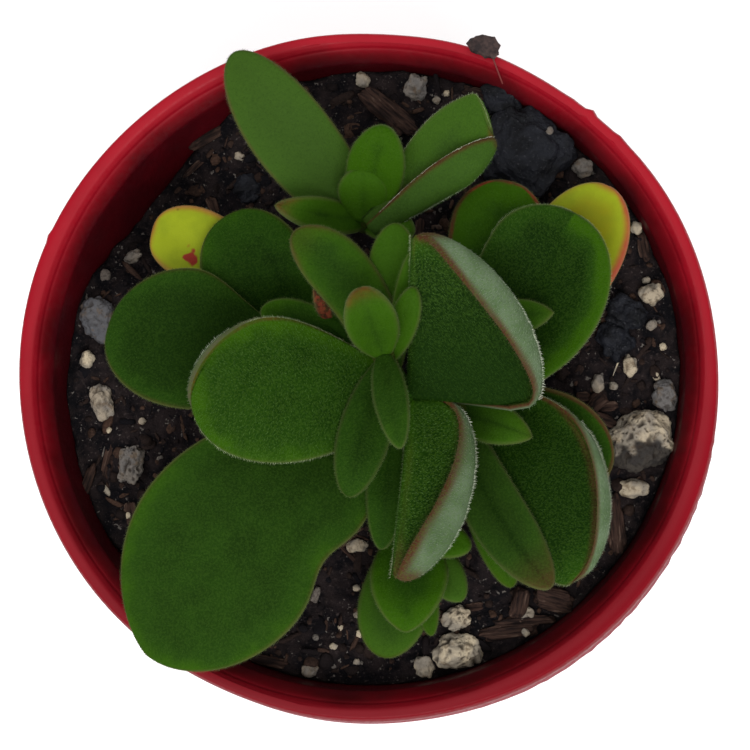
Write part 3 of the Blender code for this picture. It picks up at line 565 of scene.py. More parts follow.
SHOOTS = {
    "upper": {
        "foot": (-0.6, 22.0), "top": (-0.6, 22.6, 88.8), "radius": (1.9, 1.3),
        "leaves": {
            "back_left": leaf(86, (-19.3, 46.3, 97), 6.2, (0.65, 0.8, 0.5, 0.0), rise=30, droop=0,
                band=0.5, widest=0.52, neck=0.45, bow=0.9, right=half(5.6, 10), rib=0.0),
            "back_right": leaf(89.5, (17.8, 34.2, 96.5), 8.0, (0.8, 0.5, 1.1, 0.0), rise=25, widest=0.76,
                point=0.5, bow=2.0, band=1.0, rib=0.0,
                left=half(6.8, 22, red=0.0, widest=0.96, neck=0.1, foot=2.6),
                right=half(10.0, 6, (0.61, 0.49), 155, lash=1.3, widest=0.7, point=0.6), under=0.04,
                pelt=0.6),
            "upright": leaf(87.5, (2.2, 36.0, 98.5), 4.2, (0.85, 0.0, 0.0, 0.0), rise=45, droop=15,
                neck=0.45, bow=-0.5),
            "young": leaf(88.6, (-0.6, 30.0, 95), 3.7, (0.9, 0.1, 0.0, 0.0), rise=35, droop=20, neck=0.5),
            "front_left": leaf(87, (-13.4, 24.5, 97), 2.8, (0.7, 0.1, 0.2, 0.6), rise=30, widest=0.5,
                point=0.75, neck=0.5, tilt=24, bow=1.0),
            "front_right": leaf(86, (6.5, 20.5, 92), 2.6, (0.8, 0.1, 0.0, 0.0), neck=0.5, tilt=20),
        },
    },
    "main": {
        "foot": (4.6, -3.4), "top": (2.0, 3.4, 102.5), "radius": (2.6, 1.5),
        "leaves": {
            "bud_down": leaf(102, (4.5, -10.2, 109), 2.4, (0.25, 0.1, 0.0, 0.0), rise=25, widest=0.48,
                thick=1.8),
            "bud_up": leaf(102, (-1.3, 12.8, 111), 3.9, (0.75, 0.1, 0.15, 0.6), rise=35, widest=0.62,
                neck=0.35, tilt=24, thick=1.8),
            "inner_right": leaf(99, (6.5, 12.9, 107), 2.1, (0.75, 0.1, 0.1, 0.0), rise=35, droop=15,
                thick=1.8, bow=-0.7),
            "inner_back": leaf(97, (6.4, 18.1, 105), 1.9, (0.85, 0.1, 0.1, 0.0), rise=30, droop=15,
                thick=1.8, bow=-1.0),
            "inner_front": leaf(98, (-2.9, -17.1, 102), 3.7, (0.12, 0.05, 0.1, 0.0), droop=-10,
                widest=0.55),
            "inner_left": leaf(96, (-10.9, 20.5, 102), 4.4, (0.5, 0.1, 0.4, 0.4), droop=0, widest=0.66,
                neck=0.5, tilt=14, bow=-3.2),
            "back": leaf(95, (3.9, 22.0, 101), 3.6, (0.9, 0.15, 0.15, 0.0), widest=0.66, neck=0.45),
            "left": leaf(96, (-25.0, -4.9, 102), 10.6, (0.5, 0.0, 0.55, 0.0), rise=25, droop=-20,
                widest=0.5, pelt=0.7, neck=0.3, foot=0.7, point=0.52, tilt=4, thick=2.8, rib=0.0, cast=0.0,
                left=half(10.6, 4, red=0.4),
                right=half(10.3, 4, (1.22, 0.83), 140, lit=0.7, widest=0.6, neck=0.12, foot=1.6, point=0.5),
                under=0.7),
            "right_hood": leaf(97, (6.9, 20.3, 108), 2.0, (0.05, 0.0, 1.0, 0.0), rise=10, widest=0.42,
                neck=0.7, foot=0.4, point=0.5, root=(6.4, -3.0, 99), thick=1.8,
                left=half(1.3, -60, red=0.0), right=half(20.4, 6, (0.99, 0.6), 160, point=0.56), under=1.0,
                pelt=1.0, band=1.8, bow=-0.4, rib=0.0, comb=-0.7, dawn=1.2),
            "front_hood": leaf(96, (4.0, -28.7, 103), 2.0, (0.3, 0.0, 1.0, 0.3), rise=10, widest=0.62,
                neck=0.3, foot=0.6, point=0.5, root=(6.5, -3.2, 98), thick=1.8,
                left=half(12.5, 8, (0.92, 0.5), 160), right=half(1.2, -60, red=0.0), under=0.9, pelt=1.0,
                band=2.2, bow=0.6, rib=0.0, comb=0.1, dawn=-0.3),
            "front": leaf(93, (1.8, -24.6, 96), 3.0, (0.15, 0.05, 0.0, 0.0), rise=10, droop=-5, neck=0.5,
                bow=0.7),
            "dry_stub": leaf(92, (-7.9, 12.6, 99), 1.0, (2.5, 0.0, 3.0, 1.0), rise=30, droop=20,
                widest=0.4, neck=0.6, point=0.9, thick=1.0, root=(-5.6, 8.0, 95), band=4.0),
            "lower_left": leaf(92, (-15.4, 9.6, 96), 2.8, (0.4, 0.0, 0.1, 0.0), neck=0.45,
                root=(-3.0, 6.0, 94), thick=1.8),
            "large": leaf(90, (-31.6, -39.7, 92.5), 13.2, (0.38, 0.1, 0.4, 0.0), droop=-15, widest=0.66,
                neck=0.26, foot=1.3, point=0.58, tilt=5, thick=3.0,
                left=half(13.2, 5, foot=1.0, waist=0.17),
                right=half(15.0, 5, widest=0.62, foot=2.0, point=0.66)),
        },
    },
    "left": {
        "foot": (-10.5, 6.0), "top": (-11.0, 6.0, 89.0), "radius": (1.7, 1.4),
        "leaves": {
            "far": leaf(87, (-37.0, 7.6, 92), 10.2, (0.08, 0.05, 0.4, 0.0), rise=25, droop=-15,
                widest=0.56, neck=0.35, point=0.5, tilt=6, bow=2.4,
                right=half(10.0, 6, neck=0.12, foot=1.8)),
            "back": leaf(84, (-19.9, 23.2, 89), 8.0, (0.3, 0.0, 0.4, 0.0), rise=25, droop=-10, widest=0.55,
                point=0.5, tilt=6, right=half(7.3, 6)),
        },
    },
    "right": {
        "foot": (12.4, -5.4), "top": (12.6, -5.0, 92.0), "radius": (1.9, 1.5),
        "leaves": {
            "back_large": leaf(87, (29.6, 23.3, 95), 8.9, (0.12, 0.0, 0.1, 0.0), rise=25, droop=0,
                widest=0.7, point=0.5, tilt=14, root=(15.5, 1.2, 89), bow=-0.8,
                right=half(11.1, 14, lit=1.2, widest=0.52, foot=0.8), rib=0.0, pelt=0.45),
            "back": leaf(86, (20.0, 28.0, 91), 6.8, (0.8, 0.0, 1.4, 0.0), widest=0.7, band=0.9, neck=0.3,
                point=0.5, root=(15.0, 5.0, 88.5)),
            "tongue_back": leaf(90, (26.4, 9.2, 98), 2.6, (0.55, 0.1, 0.1, 0.3), droop=10, widest=0.5,
                neck=0.5, point=0.8, thick=1.8, root=(15.0, 7.6, 95)),
            "tongue": leaf(90, (23.3, -8.6, 97), 3.0, (0.62, 0.15, 0.1, 0.3), rise=30, droop=0, widest=0.5,
                neck=0.6, point=0.75, thick=1.8, rib=1.5),
            "front_hood": leaf(87, (29.0, -29.4, 94), 2.0, (0.1, 0.0, 0.9, 0.0), rise=15, widest=0.56,
                point=0.46, left=half(15.0, 10, (1.08, 0.77), 140, lit=0.6), right=half(4.0, -6, red=0.0),
                under=1.0, pelt=0.6, band=0.5, cast=0.7),
            "front": leaf(89, (26.1, -30.0, 94), 4.3, (0.0, 0.2, 0.1, 0.8), droop=0, tilt=16, bow=-2.5,
                rib=3.0),
            "outer": leaf(84, (34.5, -13.5, 89), 8.0, (0.25, 0.0, 1.1, 0.0), droop=0, band=0.9, neck=0.35,
                point=0.5),
            "front_low": leaf(86, (20.4, -30.0, 88), 3.2, (0.6, 0.0, 0.1, 0.2), rise=15, droop=-10),
        },
    },
    "front": {
        "foot": (6.5, -22.0), "top": (6.5, -22.2, 86.0), "radius": (1.5, 1.2),
        "leaves": {
            "front": leaf(84, (5.2, -36.4, 91), 5.5, (0.65, 0.0, 0.2, 0.0), rise=30, droop=-5, widest=0.5,
                point=0.7),
            "front_left": leaf(82, (2.0, -40.0, 85), 5.2, (0.55, 0.3, 0.15, 0.15), rise=15, droop=-10,
                neck=0.35),
            "front_thin": leaf(82, (9.0, -36.9, 86), 1.9, (0.8, 0.1, 0.1, 0.0), droop=-5, neck=0.5,
                thick=1.6),
            "front_right": leaf(83, (13.4, -31.9, 89), 2.9, (0.6, 0.45, 0.1, 0.0), rise=25, droop=0,
                neck=0.45, thick=1.8),
            "right": leaf(84, (14.6, -24.4, 91), 2.6, (0.75, 0.0, 0.1, 0.0), rise=35, droop=0, neck=0.5,
                thick=1.8),
        },
    },
}
OLD_LEAVES = {
    "left": leaf(0, (-31.0, 20.4, 86.3), 4.5, (0.55, 0.0, 0.6, 0.0), rise=15, droop=-5, widest=0.7,
        band=1.3, root=(-12.9, 8.2, 83.2), bow=-3.0, under=0.0, left=half(5.2, 10, point=0.4),
        right=half(5.8, 10, point=0.4), neck=0.3),
    "right": leaf(0, (34.0, 27.4, 88.1), 7.0, (0.1, 0.0, 0.95, 0.0), rise=10, widest=0.72, point=0.5,
        band=1.7, root=(13.8, -3.0, 82.2), bow=-2.5, under=0.0, left=half(7.0, 10, red=0.25),
        right=half(7.0, 10), neck=0.3),
}
SCRAP = leaf(0, (14.2, 47.6, 86.1), 1.3, (0.0, 0.0, 0.0, 0.0), rise=10, droop=-10, widest=0.4, neck=0.5,
    tilt=-12, thick=0.9, root=(18.6, 46.7, 85.9), under=0.0)
print("leaves on stems:", sum(len(shoot["leaves"]) for shoot in SHOOTS.values()))

# %% [markdown]
# ## The surface of a leaf
# A leaf starts as a curved spine. Across it, a line walks out from the midrib on each side, tilting a little,
# and turning right over where the leaf folds. That gives a middle sheet, and the flesh is put on both sides
# of it, thick along the spine and rounded off at the margin. Points stand closer together near the margin,
# where the red rim and the rounding need a fine grid.

# %% Leaf shape
CELL = 0.8
EDGE_THICK = 0.8
WALK_STEPS = 48
WAIST_SPREAD = 0.09
FOLD_SPREAD = 0.28
LONGEST = 0.999


def ease(value):
    """From 0 to 1, starting and ending softly."""
    value = min(max(value, 0.0), 1.0)
    return value * value * (3.0 - 2.0 * value)


def row_place(row, rows):
    """Share of the leaf's length at a row; the rows stand closer together near the tip."""
    return min(math.sin(0.5 * math.pi * row / rows) ** 1.15, LONGEST)


def fold_place(side, along):
    """Share of the half's width at which it folds over, at a share of the length."""
    first, last = side["fold_at"]
    return first + (last - first) * along


def outline(form, along):
    """Share of the full width at a share of the length."""
    widest = form["widest"]
    drawn_in = 1.0 - form["waist"] * math.exp(-((along - 0.5) / WAIST_SPREAD) ** 2)
    if along < widest:
        back = (widest - along) / widest
        return drawn_in * (form["neck"] + (1.0 - form["neck"]) * max(1.0 - back * back, 0.0) ** form["foot"])
    ahead = (along - widest) / (1.0 - widest)
    return drawn_in * max(1.0 - ahead * ahead, 0.0) ** form["point"]


def walk_out(side, along, width, shares):
    """Offsets sideways and upwards at each share of one half, walked out from the midrib."""
    fold_at = fold_place(side, along)
    reach, lift, found, wanted = 0.0, 0.0, [], 0
    for step in range(WALK_STEPS + 1):
        while wanted < len(shares) and shares[wanted] <= step / WALK_STEPS + 1e-9:
            found.append((reach, lift))
            wanted += 1
        here = (step + 0.5) / WALK_STEPS
        bend = side["fold"] * ease((here - fold_at + 0.5 * FOLD_SPREAD) / FOLD_SPREAD)
        angle = math.radians(side["tilt"] * (0.4 + 1.2 * here) + bend)
        reach += math.cos(angle) * width / WALK_STEPS
        lift += math.sin(angle) * width / WALK_STEPS
    return found


def spine(form, root, tip):
    """Cubic curve from root to tip, its start and end slopes set by rise and droop."""
    heading = Vector((tip.x - root.x, tip.y - root.y, 0.0)).normalized()
    handle = (tip - root).length / 3.0
    rise, droop = math.radians(form["rise"]), math.radians(form["droop"])
    sideways = Vector((-heading.y, heading.x, 0.0)) * form["bow"]
    start = root + (heading * math.cos(rise) + Vector((0, 0, math.sin(rise)))) * handle + sideways
    end = tip - (heading * math.cos(droop) + Vector((0, 0, math.sin(droop)))) * handle + sideways

    def at(share):
        rest = 1.0 - share
        point = root * rest ** 3 + start * 3 * rest ** 2 * share
        point = point + end * 3 * rest * share ** 2 + tip * share ** 3
        slope = (start - root) * rest ** 2 + (end - start) * 2 * rest * share + (tip - end) * share ** 2
        return point, slope.normalized()

    return at


def leaf_sheet(form, root, tip, rows, columns):
    """The leaf's middle sheet as rows of points, with its normals, its widths and its combing directions."""
    at = spine(form, root, tip)
    shares = [math.sin(0.5 * math.pi * column / columns) for column in range(columns + 1)]
    steps = [round(share * WALK_STEPS) / WALK_STEPS for share in shares]
    sheet, widths, slopes = [], [], []
    for row in range(rows + 1):
        along = row_place(row, rows)
        point, slope = at(along)
        side = slope.cross(Vector((0, 0, 1))).normalized()
        up = side.cross(slope).normalized()
        line, wide = [], []
        for way, half_leaf in ((-1, form["left"]), (1, form["right"])):
            width = half_leaf["width"] * outline(form | half_leaf["shape"], along)
            walked = walk_out(half_leaf, along, width, steps)
            points = [point + side * (way * reach) + up * lift for reach, lift in walked]
            if way < 0:
                line = points[::-1]
            else:
                line += points[1:]
            wide.append(width)
        sheet.append(line)
        widths.append(wide)
        slopes.append(slope)
    normals, combs = [], []
    for row, line in enumerate(sheet):
        ahead, behind = sheet[min(row + 1, rows)], sheet[max(row - 1, 0)]
        normal_line, comb_line = [], []
        for column in range(len(line)):
            across = line[min(column + 1, len(line) - 1)] - line[max(column - 1, 0)]
            normal_line.append(across.cross(ahead[column] - behind[column]).normalized())
            outward = across.normalized() * (1.0 if column > columns else -1.0)
            comb_line.append((outward + slopes[row] * form["comb"]).normalized())
        normals.append(normal_line)
        combs.append(comb_line)
    return sheet, normals, widths, combs, steps


print("grid cell:", CELL, "mm")

# %% [markdown]
# ### Flesh on the sheet, and what each point knows
# Each point of the leaf also keeps a few numbers: how far it is into the red rim, whether it is on the silver
# back, which way its hairs lie and how thickly they stand. They are worked out here as plain numbers, so the
# material only has to turn them into colour. One class gathers the leaves and stems of a plant.

# %% Foliage
NUMBERS = ("fresh", "dusty", "blush", "silver", "pale", "fuzz", "midrib", "pelt")


class Foliage:
    """Leaves and stems that are gathered into one mesh, with the numbers that the materials read."""

    def __init__(self):
        self.shape = bmesh.new()
        self.numbers = {name: [] for name in NUMBERS}
        self.combs = []
        self.margins = []

    def point(self, place, comb, **numbers):
        """Add a point with its combing direction and its numbers; a number that isn't given is 0."""
        for name in NUMBERS:
            self.numbers[name].append(numbers.get(name, 0.0))
        self.combs.append(comb)
        return self.shape.verts.new(place)

    def mesh(self, name):
        """The gathered shape as a mesh that carries the numbers."""
        self.shape.verts.index_update()
        bmesh.ops.recalc_face_normals(self.shape, faces=self.shape.faces)
        mesh = mesh_from(name, self.shape)
        for title in NUMBERS:
            paint(mesh, title, self.numbers[title])
        paint(mesh, "comb", self.combs, "FLOAT_VECTOR")
        return mesh


def close_tube(shape, rings):
    """Faces between rings of points, and a lid at each end."""
    count = len(rings[0])
    for first, second in zip(rings, rings[1:]):
        for step in range(count):
            after = (step + 1) % count
            shape.faces.new((first[step], first[after], second[after], second[step]))
    shape.faces.new(list(reversed(rings[0])))
    shape.faces.new(rings[-1])


print("numbers kept on each point:", ", ".join(NUMBERS))

# %% Numbers of a point
TURNED_DOWN = -30.0
CAST_WIDTH = 1.4
BROWN_FROM = 0.72
BROWN_OVER = 0.28
PALE_WIDTH = 0.22
LIT_WIDTH = 5.0
SHADED = 0.12
RIB_WIDTH = 0.6
MOST_SILVER = 0.45


def finish_at(form, half_leaf, upper, along, share, width, margin):
    """The numbers of a point on the upper or lower face, at shares of the length and of the half's width."""
    fresh, dusty, rim, brown = form["finish"]
    folded = half_leaf["fold"] > 0.0
    hooded = min(form["left"]["tilt"], form["right"]["tilt"]) < TURNED_DOWN
    mean_red = 0.5 * (form["left"]["red"] + form["right"]["red"])
    red_reach = 0.3 if hooded else 3.0
    red = mean_red + (half_leaf["red"] - mean_red) * ease(share * width / red_reach)
    blush = rim * red * ease(1.0 - margin / (form["band"] * (0.2 + 0.8 * ease(along * 2.5))))
    if folded and upper:
        turned_in = 2.0 * fold_place(half_leaf, along) - 1.0
        blush += rim * form["cast"] * ease(1.0 - abs(share - turned_in) * width / CAST_WIDTH)
    blush += brown * ease((along - BROWN_FROM) / BROWN_OVER) * (0.8 if upper else 0.5)
    silver = form["under"] if folded else min(form["under"], MOST_SILVER) * half_leaf["red"]
    glow = fresh + form["dawn"] * (along - 0.6)
    # Painted light and shade on the upper face: a brighter green within LIT_WIDTH of the margin, as if light
    # shone through the thin edge, and a darker green, SHADED, over all of the face.
    glow += half_leaf["lit"] * ease(1.0 - margin / LIT_WIDTH) - SHADED if upper else 0.0
    return {
        "fresh": glow, "dusty": dusty, "blush": blush, "silver": 0.0 if upper else silver,
        "pale": 0.0 if folded else ease(1.0 - margin / PALE_WIDTH),
        "fuzz": ease(along * 9.0) * (1.0 if upper or folded else 0.4),
        "midrib": form["rib"] * ease(1.0 - share * width / RIB_WIDTH) * (1.0 if upper else 0.0),
        "pelt": form["pelt"],
    }


print("a half that is tilted below", TURNED_DOWN, "degrees is turned down")

# %% [markdown]
# ### Where the lashes stand
# Lashes stand along each margin. Where a half is folded over, its margin is out of sight, and what is seen as
# the leaf's edge is the fold: the point of each row that reaches farthest out. So a folded half has lashes
# along its fold, paler than the rest. They start at the skin, which stands a little outside the middle sheet.

# %% Lines for the lashes
RIDGE_PELT = 1.4
BACK_PELT = 1.1
RIDGE_SKIN = 0.6
RIDGE_FULL = 0.9
RIDGE_FROM = 0.3
NARROW = 0.3


def fold_fringe(form, way, sheet, combs, columns):
    """Place and lean of the lashes along a fold, and along the margin up to where the fold starts."""
    ridge, plain_edge = [], []
    for line, comb_line in zip(sheet[2:-1], combs[2:-1]):
        outward = (line[columns + 3 * way] - line[columns]).normalized()
        reaches = [(point - line[columns]).dot(outward) for point in line]
        far = reaches.index(max(reaches))
        lean = (outward + comb_line[far] * 0.3).normalized()
        doubled = (line[far] - line[-1 if way > 0 else 0]).length
        place = line[far] + outward * (RIDGE_SKIN * ease(doubled / RIDGE_FULL))
        if ridge or doubled > RIDGE_FROM:
            ridge.append((place, lean))
        else:
            plain_edge.append((place, lean))
    return [(ridge, RIDGE_PELT), (plain_edge, form["pelt"])]


def edge_fringe(form, way, sheet, widths, combs, columns):
    """Place and lean of the lashes along a margin, or along the spine where the half is turned down."""
    turned_down = form["left" if way < 0 else "right"]["tilt"] < TURNED_DOWN
    fringe = []
    for line, wide, comb_line in zip(sheet, widths, combs):
        place, comb = (line[0], comb_line[0]) if way < 0 else (line[-1], comb_line[-1])
        outward = (place - line[columns]).normalized() if wide[0] > NARROW else comb
        if turned_down:
            outward = (line[columns] - line[columns - way]).normalized()
            place = line[columns] + outward * (0.5 * form["thick"])
        fringe.append((place, (outward + comb * 0.6).normalized()))
    return fringe


print("pelt of the lashes on a fold:", RIDGE_PELT)

# %% [markdown]
# ### Growing a leaf
# Now the flesh. Each row of the sheet becomes a ring of points: over the upper face and back along the lower
# one. The ring is thick at the spine and rounded off at the margin and the tip. Faces join the rings.

# %% Leaf mesh
ROUNDING = 0.45
FEWEST_ROWS = 14
FINER_ACROSS = 1.15
THIN_FROM = 0.55
THIN_OVER = 0.45
THINNED = 0.62


def rounded_off(distance):
    """From 0 at an edge to 1 inside it, along a quarter of a circle."""
    return math.sqrt(max(1.0 - max(1.0 - distance / ROUNDING, 0.0) ** 2, 0.0))


def add_leaf(plant, form, root, tip):
    """Grow one leaf into the foliage and note its margins for the fringe."""
    length = (tip - root).length
    widest_half = max(form["left"]["width"], form["right"]["width"])
    rows = max(round(length / CELL), FEWEST_ROWS)
    columns = min(max(round(widest_half / CELL * FINER_ACROSS), 6), 26)
    sheet, normals, widths, combs, shares = leaf_sheet(form, root, tip, rows, columns)
    over = [(1, column) for column in range(2 * columns + 1)]
    back = [(-1, column) for column in range(2 * columns - 1, 0, -1)]
    rings = []
    for row, line in enumerate(sheet):
        along = row_place(row, rows)
        body = 1.0 - THINNED * ease((row / rows - THIN_FROM) / THIN_OVER)
        to_tip = (1.0 - along) * length
        ring = []
        for way, column in over + back:
            half_leaf = form["left"] if column < columns else form["right"]
            share = shares[abs(column - columns)]
            width = widths[row][0 if column < columns else 1]
            to_side = (1.0 - share) * width
            thick = EDGE_THICK + (form["thick"] - EDGE_THICK) * (1.0 - share ** 2.2) * body
            rounding = rounded_off(to_side) * rounded_off(to_tip)
            place = line[column] + normals[row][column] * (way * 0.5 * thick * rounding)
            numbers = finish_at(form, half_leaf, way > 0, along, share, width, min(to_side, to_tip))
            ring.append(plant.point(place, combs[row][column], **numbers))
        rings.append(ring)
    close_tube(plant.shape, rings)
    halves = ((-1, form["left"]), (1, form["right"]))
    for way, half_leaf in halves:
        if half_leaf["fold"]:
            plant.margins += fold_fringe(form, way, sheet, combs, columns)
    for way, half_leaf in halves:
        fringe = edge_fringe(form, way, sheet, widths, combs, columns)
        if half_leaf["tilt"] < TURNED_DOWN:
            plant.margins.append((fringe[rows // 5:], BACK_PELT))
        elif not half_leaf["fold"] or half_leaf["lash"]:
            plant.margins.append((fringe[max(rows // 8, 2):], half_leaf["lash"] or form["pelt"]))


def add_rod(plant, points, radii, fresh, blush, segments=20, steps=6):
    """A stem or leaf stalk through a few points."""
    rings = []
    for first, second, low, high in zip(points, points[1:], radii, radii[1:]):
        axis = (second - first).normalized()
        side = axis.orthogonal().normalized()
        other = axis.cross(side)
        for step in range(steps + 1):
            share = step / steps
            centre = first.lerp(second, share)
            ring = []
            for corner in range(segments):
                angle = math.tau * corner / segments
                way = side * math.cos(angle) + other * math.sin(angle)
                knobs = 1.0 + 0.1 * noise.noise((centre + way) * 0.9)
                radius = (low + (high - low) * share) * knobs
                ring.append(plant.point(centre + way * radius, way, fresh=fresh, blush=blush, fuzz=0.3))
            rings.append(ring)
    close_tube(plant.shape, rings)


print("a leaf has at least", FEWEST_ROWS, "rows of points")

# %% [markdown]
# ## The potting mix
# The mix is bark, peat and charcoal, damp and nearly black. Loose crumbs poured by a physics simulation would
# look right, but they would bury the stones that the picture shows. So the bed is one bumpy surface, a
# formula of height over the pot, and crumbs are scattered on it further down.

# %% Mix surface
GAP = 0.3
SOIL_DROP = 7.5
SOIL_RINGS = 84
SOIL_STEPS = 220
FIRST_REACH = 44.0
WALL_GAP = 0.15
FLOOR_INSET = 2.0


def soil_height(x, y):
    """Height of the mix: high against the back, hollow at the upper left, lower at the front."""
    radius = math.hypot(x, y) / 45.0
    level = RIM_HEIGHT - SOIL_DROP + 0.045 * y + 0.02 * x
    level -= 9.0 * math.exp(-((x + 31.0) ** 2 + (y - 27.0) ** 2) / 190.0)
    level += 1.6 * (1.0 - radius * radius)
    rough = noise.noise(Vector((x * 0.11, y * 0.11, 3.0))) * 1.5
    fine = noise.noise(Vector((x * 0.31, y * 0.31, 9.0))) * 0.9
    return level + rough + fine


def crumbled(x, y):
    """The same surface with clods and pits of a millimetre or less."""
    clod = abs(noise.noise(Vector((x * 0.55, y * 0.55, 21.0)))) * 1.3
    pit = noise.noise(Vector((x * 1.3, y * 1.3, 5.0))) * 0.5
    grit = noise.noise(Vector((x * 3.1, y * 3.1, 8.0))) * 0.22
    return soil_height(x, y) + clod + pit + grit - 0.45


def make_soil():
    """The bed as rings from the middle out to the wall, with sloping sides and a flat floor below."""
    shape = bmesh.new()
    rings = []
    for ring in range(1, SOIL_RINGS + 1):
        share = ring / SOIL_RINGS
        row = []
        for step in range(SOIL_STEPS):
            angle = math.tau * step / SOIL_STEPS
            reach = FIRST_REACH
            for _ in range(3):
                reach = inner_radius(soil_height(*around(reach, angle))) - WALL_GAP
            x, y = around(share * reach, angle)
            row.append(shape.verts.new((x, y, crumbled(x, y))))
        rings.append(row)
    middle = shape.verts.new((0.0, 0.0, crumbled(0.0, 0.0)))
    low_radius = inner_radius(FLOOR_TOP + GAP) - FLOOR_INSET
    low = []
    for step in range(SOIL_STEPS):
        angle = math.tau * step / SOIL_STEPS
        low.append(shape.verts.new((*around(low_radius, angle), FLOOR_TOP + GAP)))
    for step in range(SOIL_STEPS):
        after = (step + 1) % SOIL_STEPS
        shape.faces.new((middle, rings[0][step], rings[0][after]))
        for inner, outer in zip(rings, rings[1:]):
            shape.faces.new((inner[step], outer[step], outer[after], inner[after]))
        shape.faces.new((rings[-1][step], low[step], low[after], rings[-1][after]))
    shape.faces.new(list(reversed(low)))
    bmesh.ops.recalc_face_normals(shape, faces=shape.faces)
    return mesh_from("mix", shape)


mix_earth, tree, shader, place = new_material("damp_mix", Roughness=0.9, Specular_IOR_Level=0.06)
blotch = speckle(tree, place, 2.6, 4.0)
fleck = speckle(tree, place, 0.5, 3.0, 0.7)
earth = mix(tree, spread(tree, blotch, 0.35, 0.65), (0.0032, 0.0029, 0.0038), (0.014, 0.01, 0.01))
earth = mix(tree, spread(tree, fleck, 0.56, 0.72, 0.0, 0.7), earth, (0.045, 0.034, 0.032))
grit = speckle(tree, place, 1.1, 2.0, 0.8)
earth = mix(tree, spread(tree, grit, 0.655, 0.685, 0.0, 0.9), earth, (0.1, 0.088, 0.078))
wire(tree, shader, Base_Color=earth, Normal=bumps(tree, fleck, 0.35, 0.9))
soil_mesh = make_soil()
show("potting_mix_bed", soil_mesh, mix_earth, "potting_mix", "potting_mix")
print("mix triangles:", triangles(soil_mesh))

# %% [markdown]
# ## Velvet leaves
# The green is three greens, from the dark old leaves to the bright young ones, and the number called
# fresh chooses between them. Besides how young a leaf is, that number carries painted light, a brighter
# green near the margin of each upper face, and painted shade, a darker green over the rest of that face.
# Dust, the silver back, the red-brown rim and the pale line at the very edge are laid over it, each by its
# own number.
# A fine stipple stands for the down that is too fine to model.

# %% Leaf finish
velvet, tree, shader, place = new_material("velvet_leaf", Roughness=0.6, Specular_IOR_Level=0.02)
mottle = speckle(tree, place, 4.0, 4.0)
nap = speckle(tree, place, 0.3, 2.0, 0.6)
pores = spread(tree, cells(tree, place, 0.42), 0.34, 0.14)
fresh = maths(tree, "ADD", attribute(tree, "fresh"), spread(tree, mottle, 0.3, 0.7, -0.12, 0.12))
green = mix(tree, spread(tree, fresh, 0.0, 0.55), (0.0034, 0.0135, 0.0006), (0.008, 0.028, 0.0014))
green = mix(tree, spread(tree, fresh, 0.5, 1.05), green, (0.019, 0.058, 0.001))
green = mix(tree, attribute(tree, "dusty"), green, (0.029, 0.062, 0.009))
green = mix(tree, times(tree, attribute(tree, "midrib"), 0.25), green, (0.0036, 0.013, 0.0008))
silver = mix(tree, spread(tree, mottle, 0.35, 0.7), (0.056, 0.086, 0.042), (0.088, 0.122, 0.072))
green = mix(tree, attribute(tree, "silver"), green, silver)
patchy = times(tree, attribute(tree, "blush"), spread(tree, mottle, 0.2, 0.75, 0.6, 1.1))
dried = mix(tree, spread(tree, speckle(tree, place, 0.8, 3.0), 0.42, 0.6), (0.03, 0.008, 0.006),
            (0.11, 0.022, 0.012))
rust = mix(tree, spread(tree, fresh, 1.1, 1.3), (0.048, 0.0165, 0.008), (0.115, 0.016, 0.009))
rust = mix(tree, spread(tree, fresh, 1.8, 2.2), rust, dried)
green = mix(tree, spread(tree, patchy, 0.0, 1.0), green, rust)
edge = times(tree, attribute(tree, "pale"), 0.35)
green = mix(tree, edge, green, (0.09, 0.1, 0.036))
stipple = maths(tree, "ADD", times(tree, attribute(tree, "pelt"), 0.2), 0.1)
stipple = times(tree, stipple, spread(tree, nap, 0.42, 0.62))
stipple = times(tree, stipple, spread(tree, fresh, -0.6, 0.3, 0.3, 1.0))
green = mix(tree, stipple, green, (0.042, 0.092, 0.01))
green = mix(tree, times(tree, pores, 0.2), green, (0.0018, 0.0085, 0.0005))
wire(tree, shader, Base_Color=green, Normal=bumps(tree, nap, 0.1, 0.6))
print("leaf finish nodes:", len(tree.nodes))

# %% Grow the stems and leaves
STALK_RADII = (1.3, 1.0)
HOLE_DEPTH = 9.0


def stem_point(shoot, z):
    """Centre of a shoot's stem at a height."""
    top = seen(*shoot["top"])
    foot = seen(*shoot["foot"], soil_height(*shoot["foot"]))
    return foot + (top - foot) * ((z - foot.z) / (top.z - foot.z))


def grow(shoot):
    """One leafy stem, from its foot in the mix to its top."""
    plant = Foliage()
    foot = stem_point(shoot, soil_height(*shoot["foot"]) - HOLE_DEPTH)
    add_rod(plant, (foot, stem_point(shoot, shoot["top"][2])), shoot["radius"], 0.45, 0.35)
    for form in shoot["leaves"].values():
        root = stem_point(shoot, form["at"])
        if form["root"]:
            start, root = root, seen(*form["root"])
            add_rod(plant, (start, root), STALK_RADII, 0.6, 0.0, 14)
        add_leaf(plant, form, root, seen(*form["tip"]))
    return plant


plants = {name: grow(shoot) for name, shoot in SHOOTS.items()}
foliage = {}
for name, plant in plants.items():
    mesh = plant.mesh(f"leaves_{name}")
    foliage[name] = show(f"leaves_{name}", mesh, velvet, "green_leaf", f"shoot_{name}")
    print("leaves", name, "triangles:", triangles(foliage[name].data))

# %% [markdown]
# ## Two leaves that are dying
# Old leaves lose their green from the rim inwards. They go yellow, then orange and red at the edge. The shape
# is the same leaf as before, so only the finish is new.

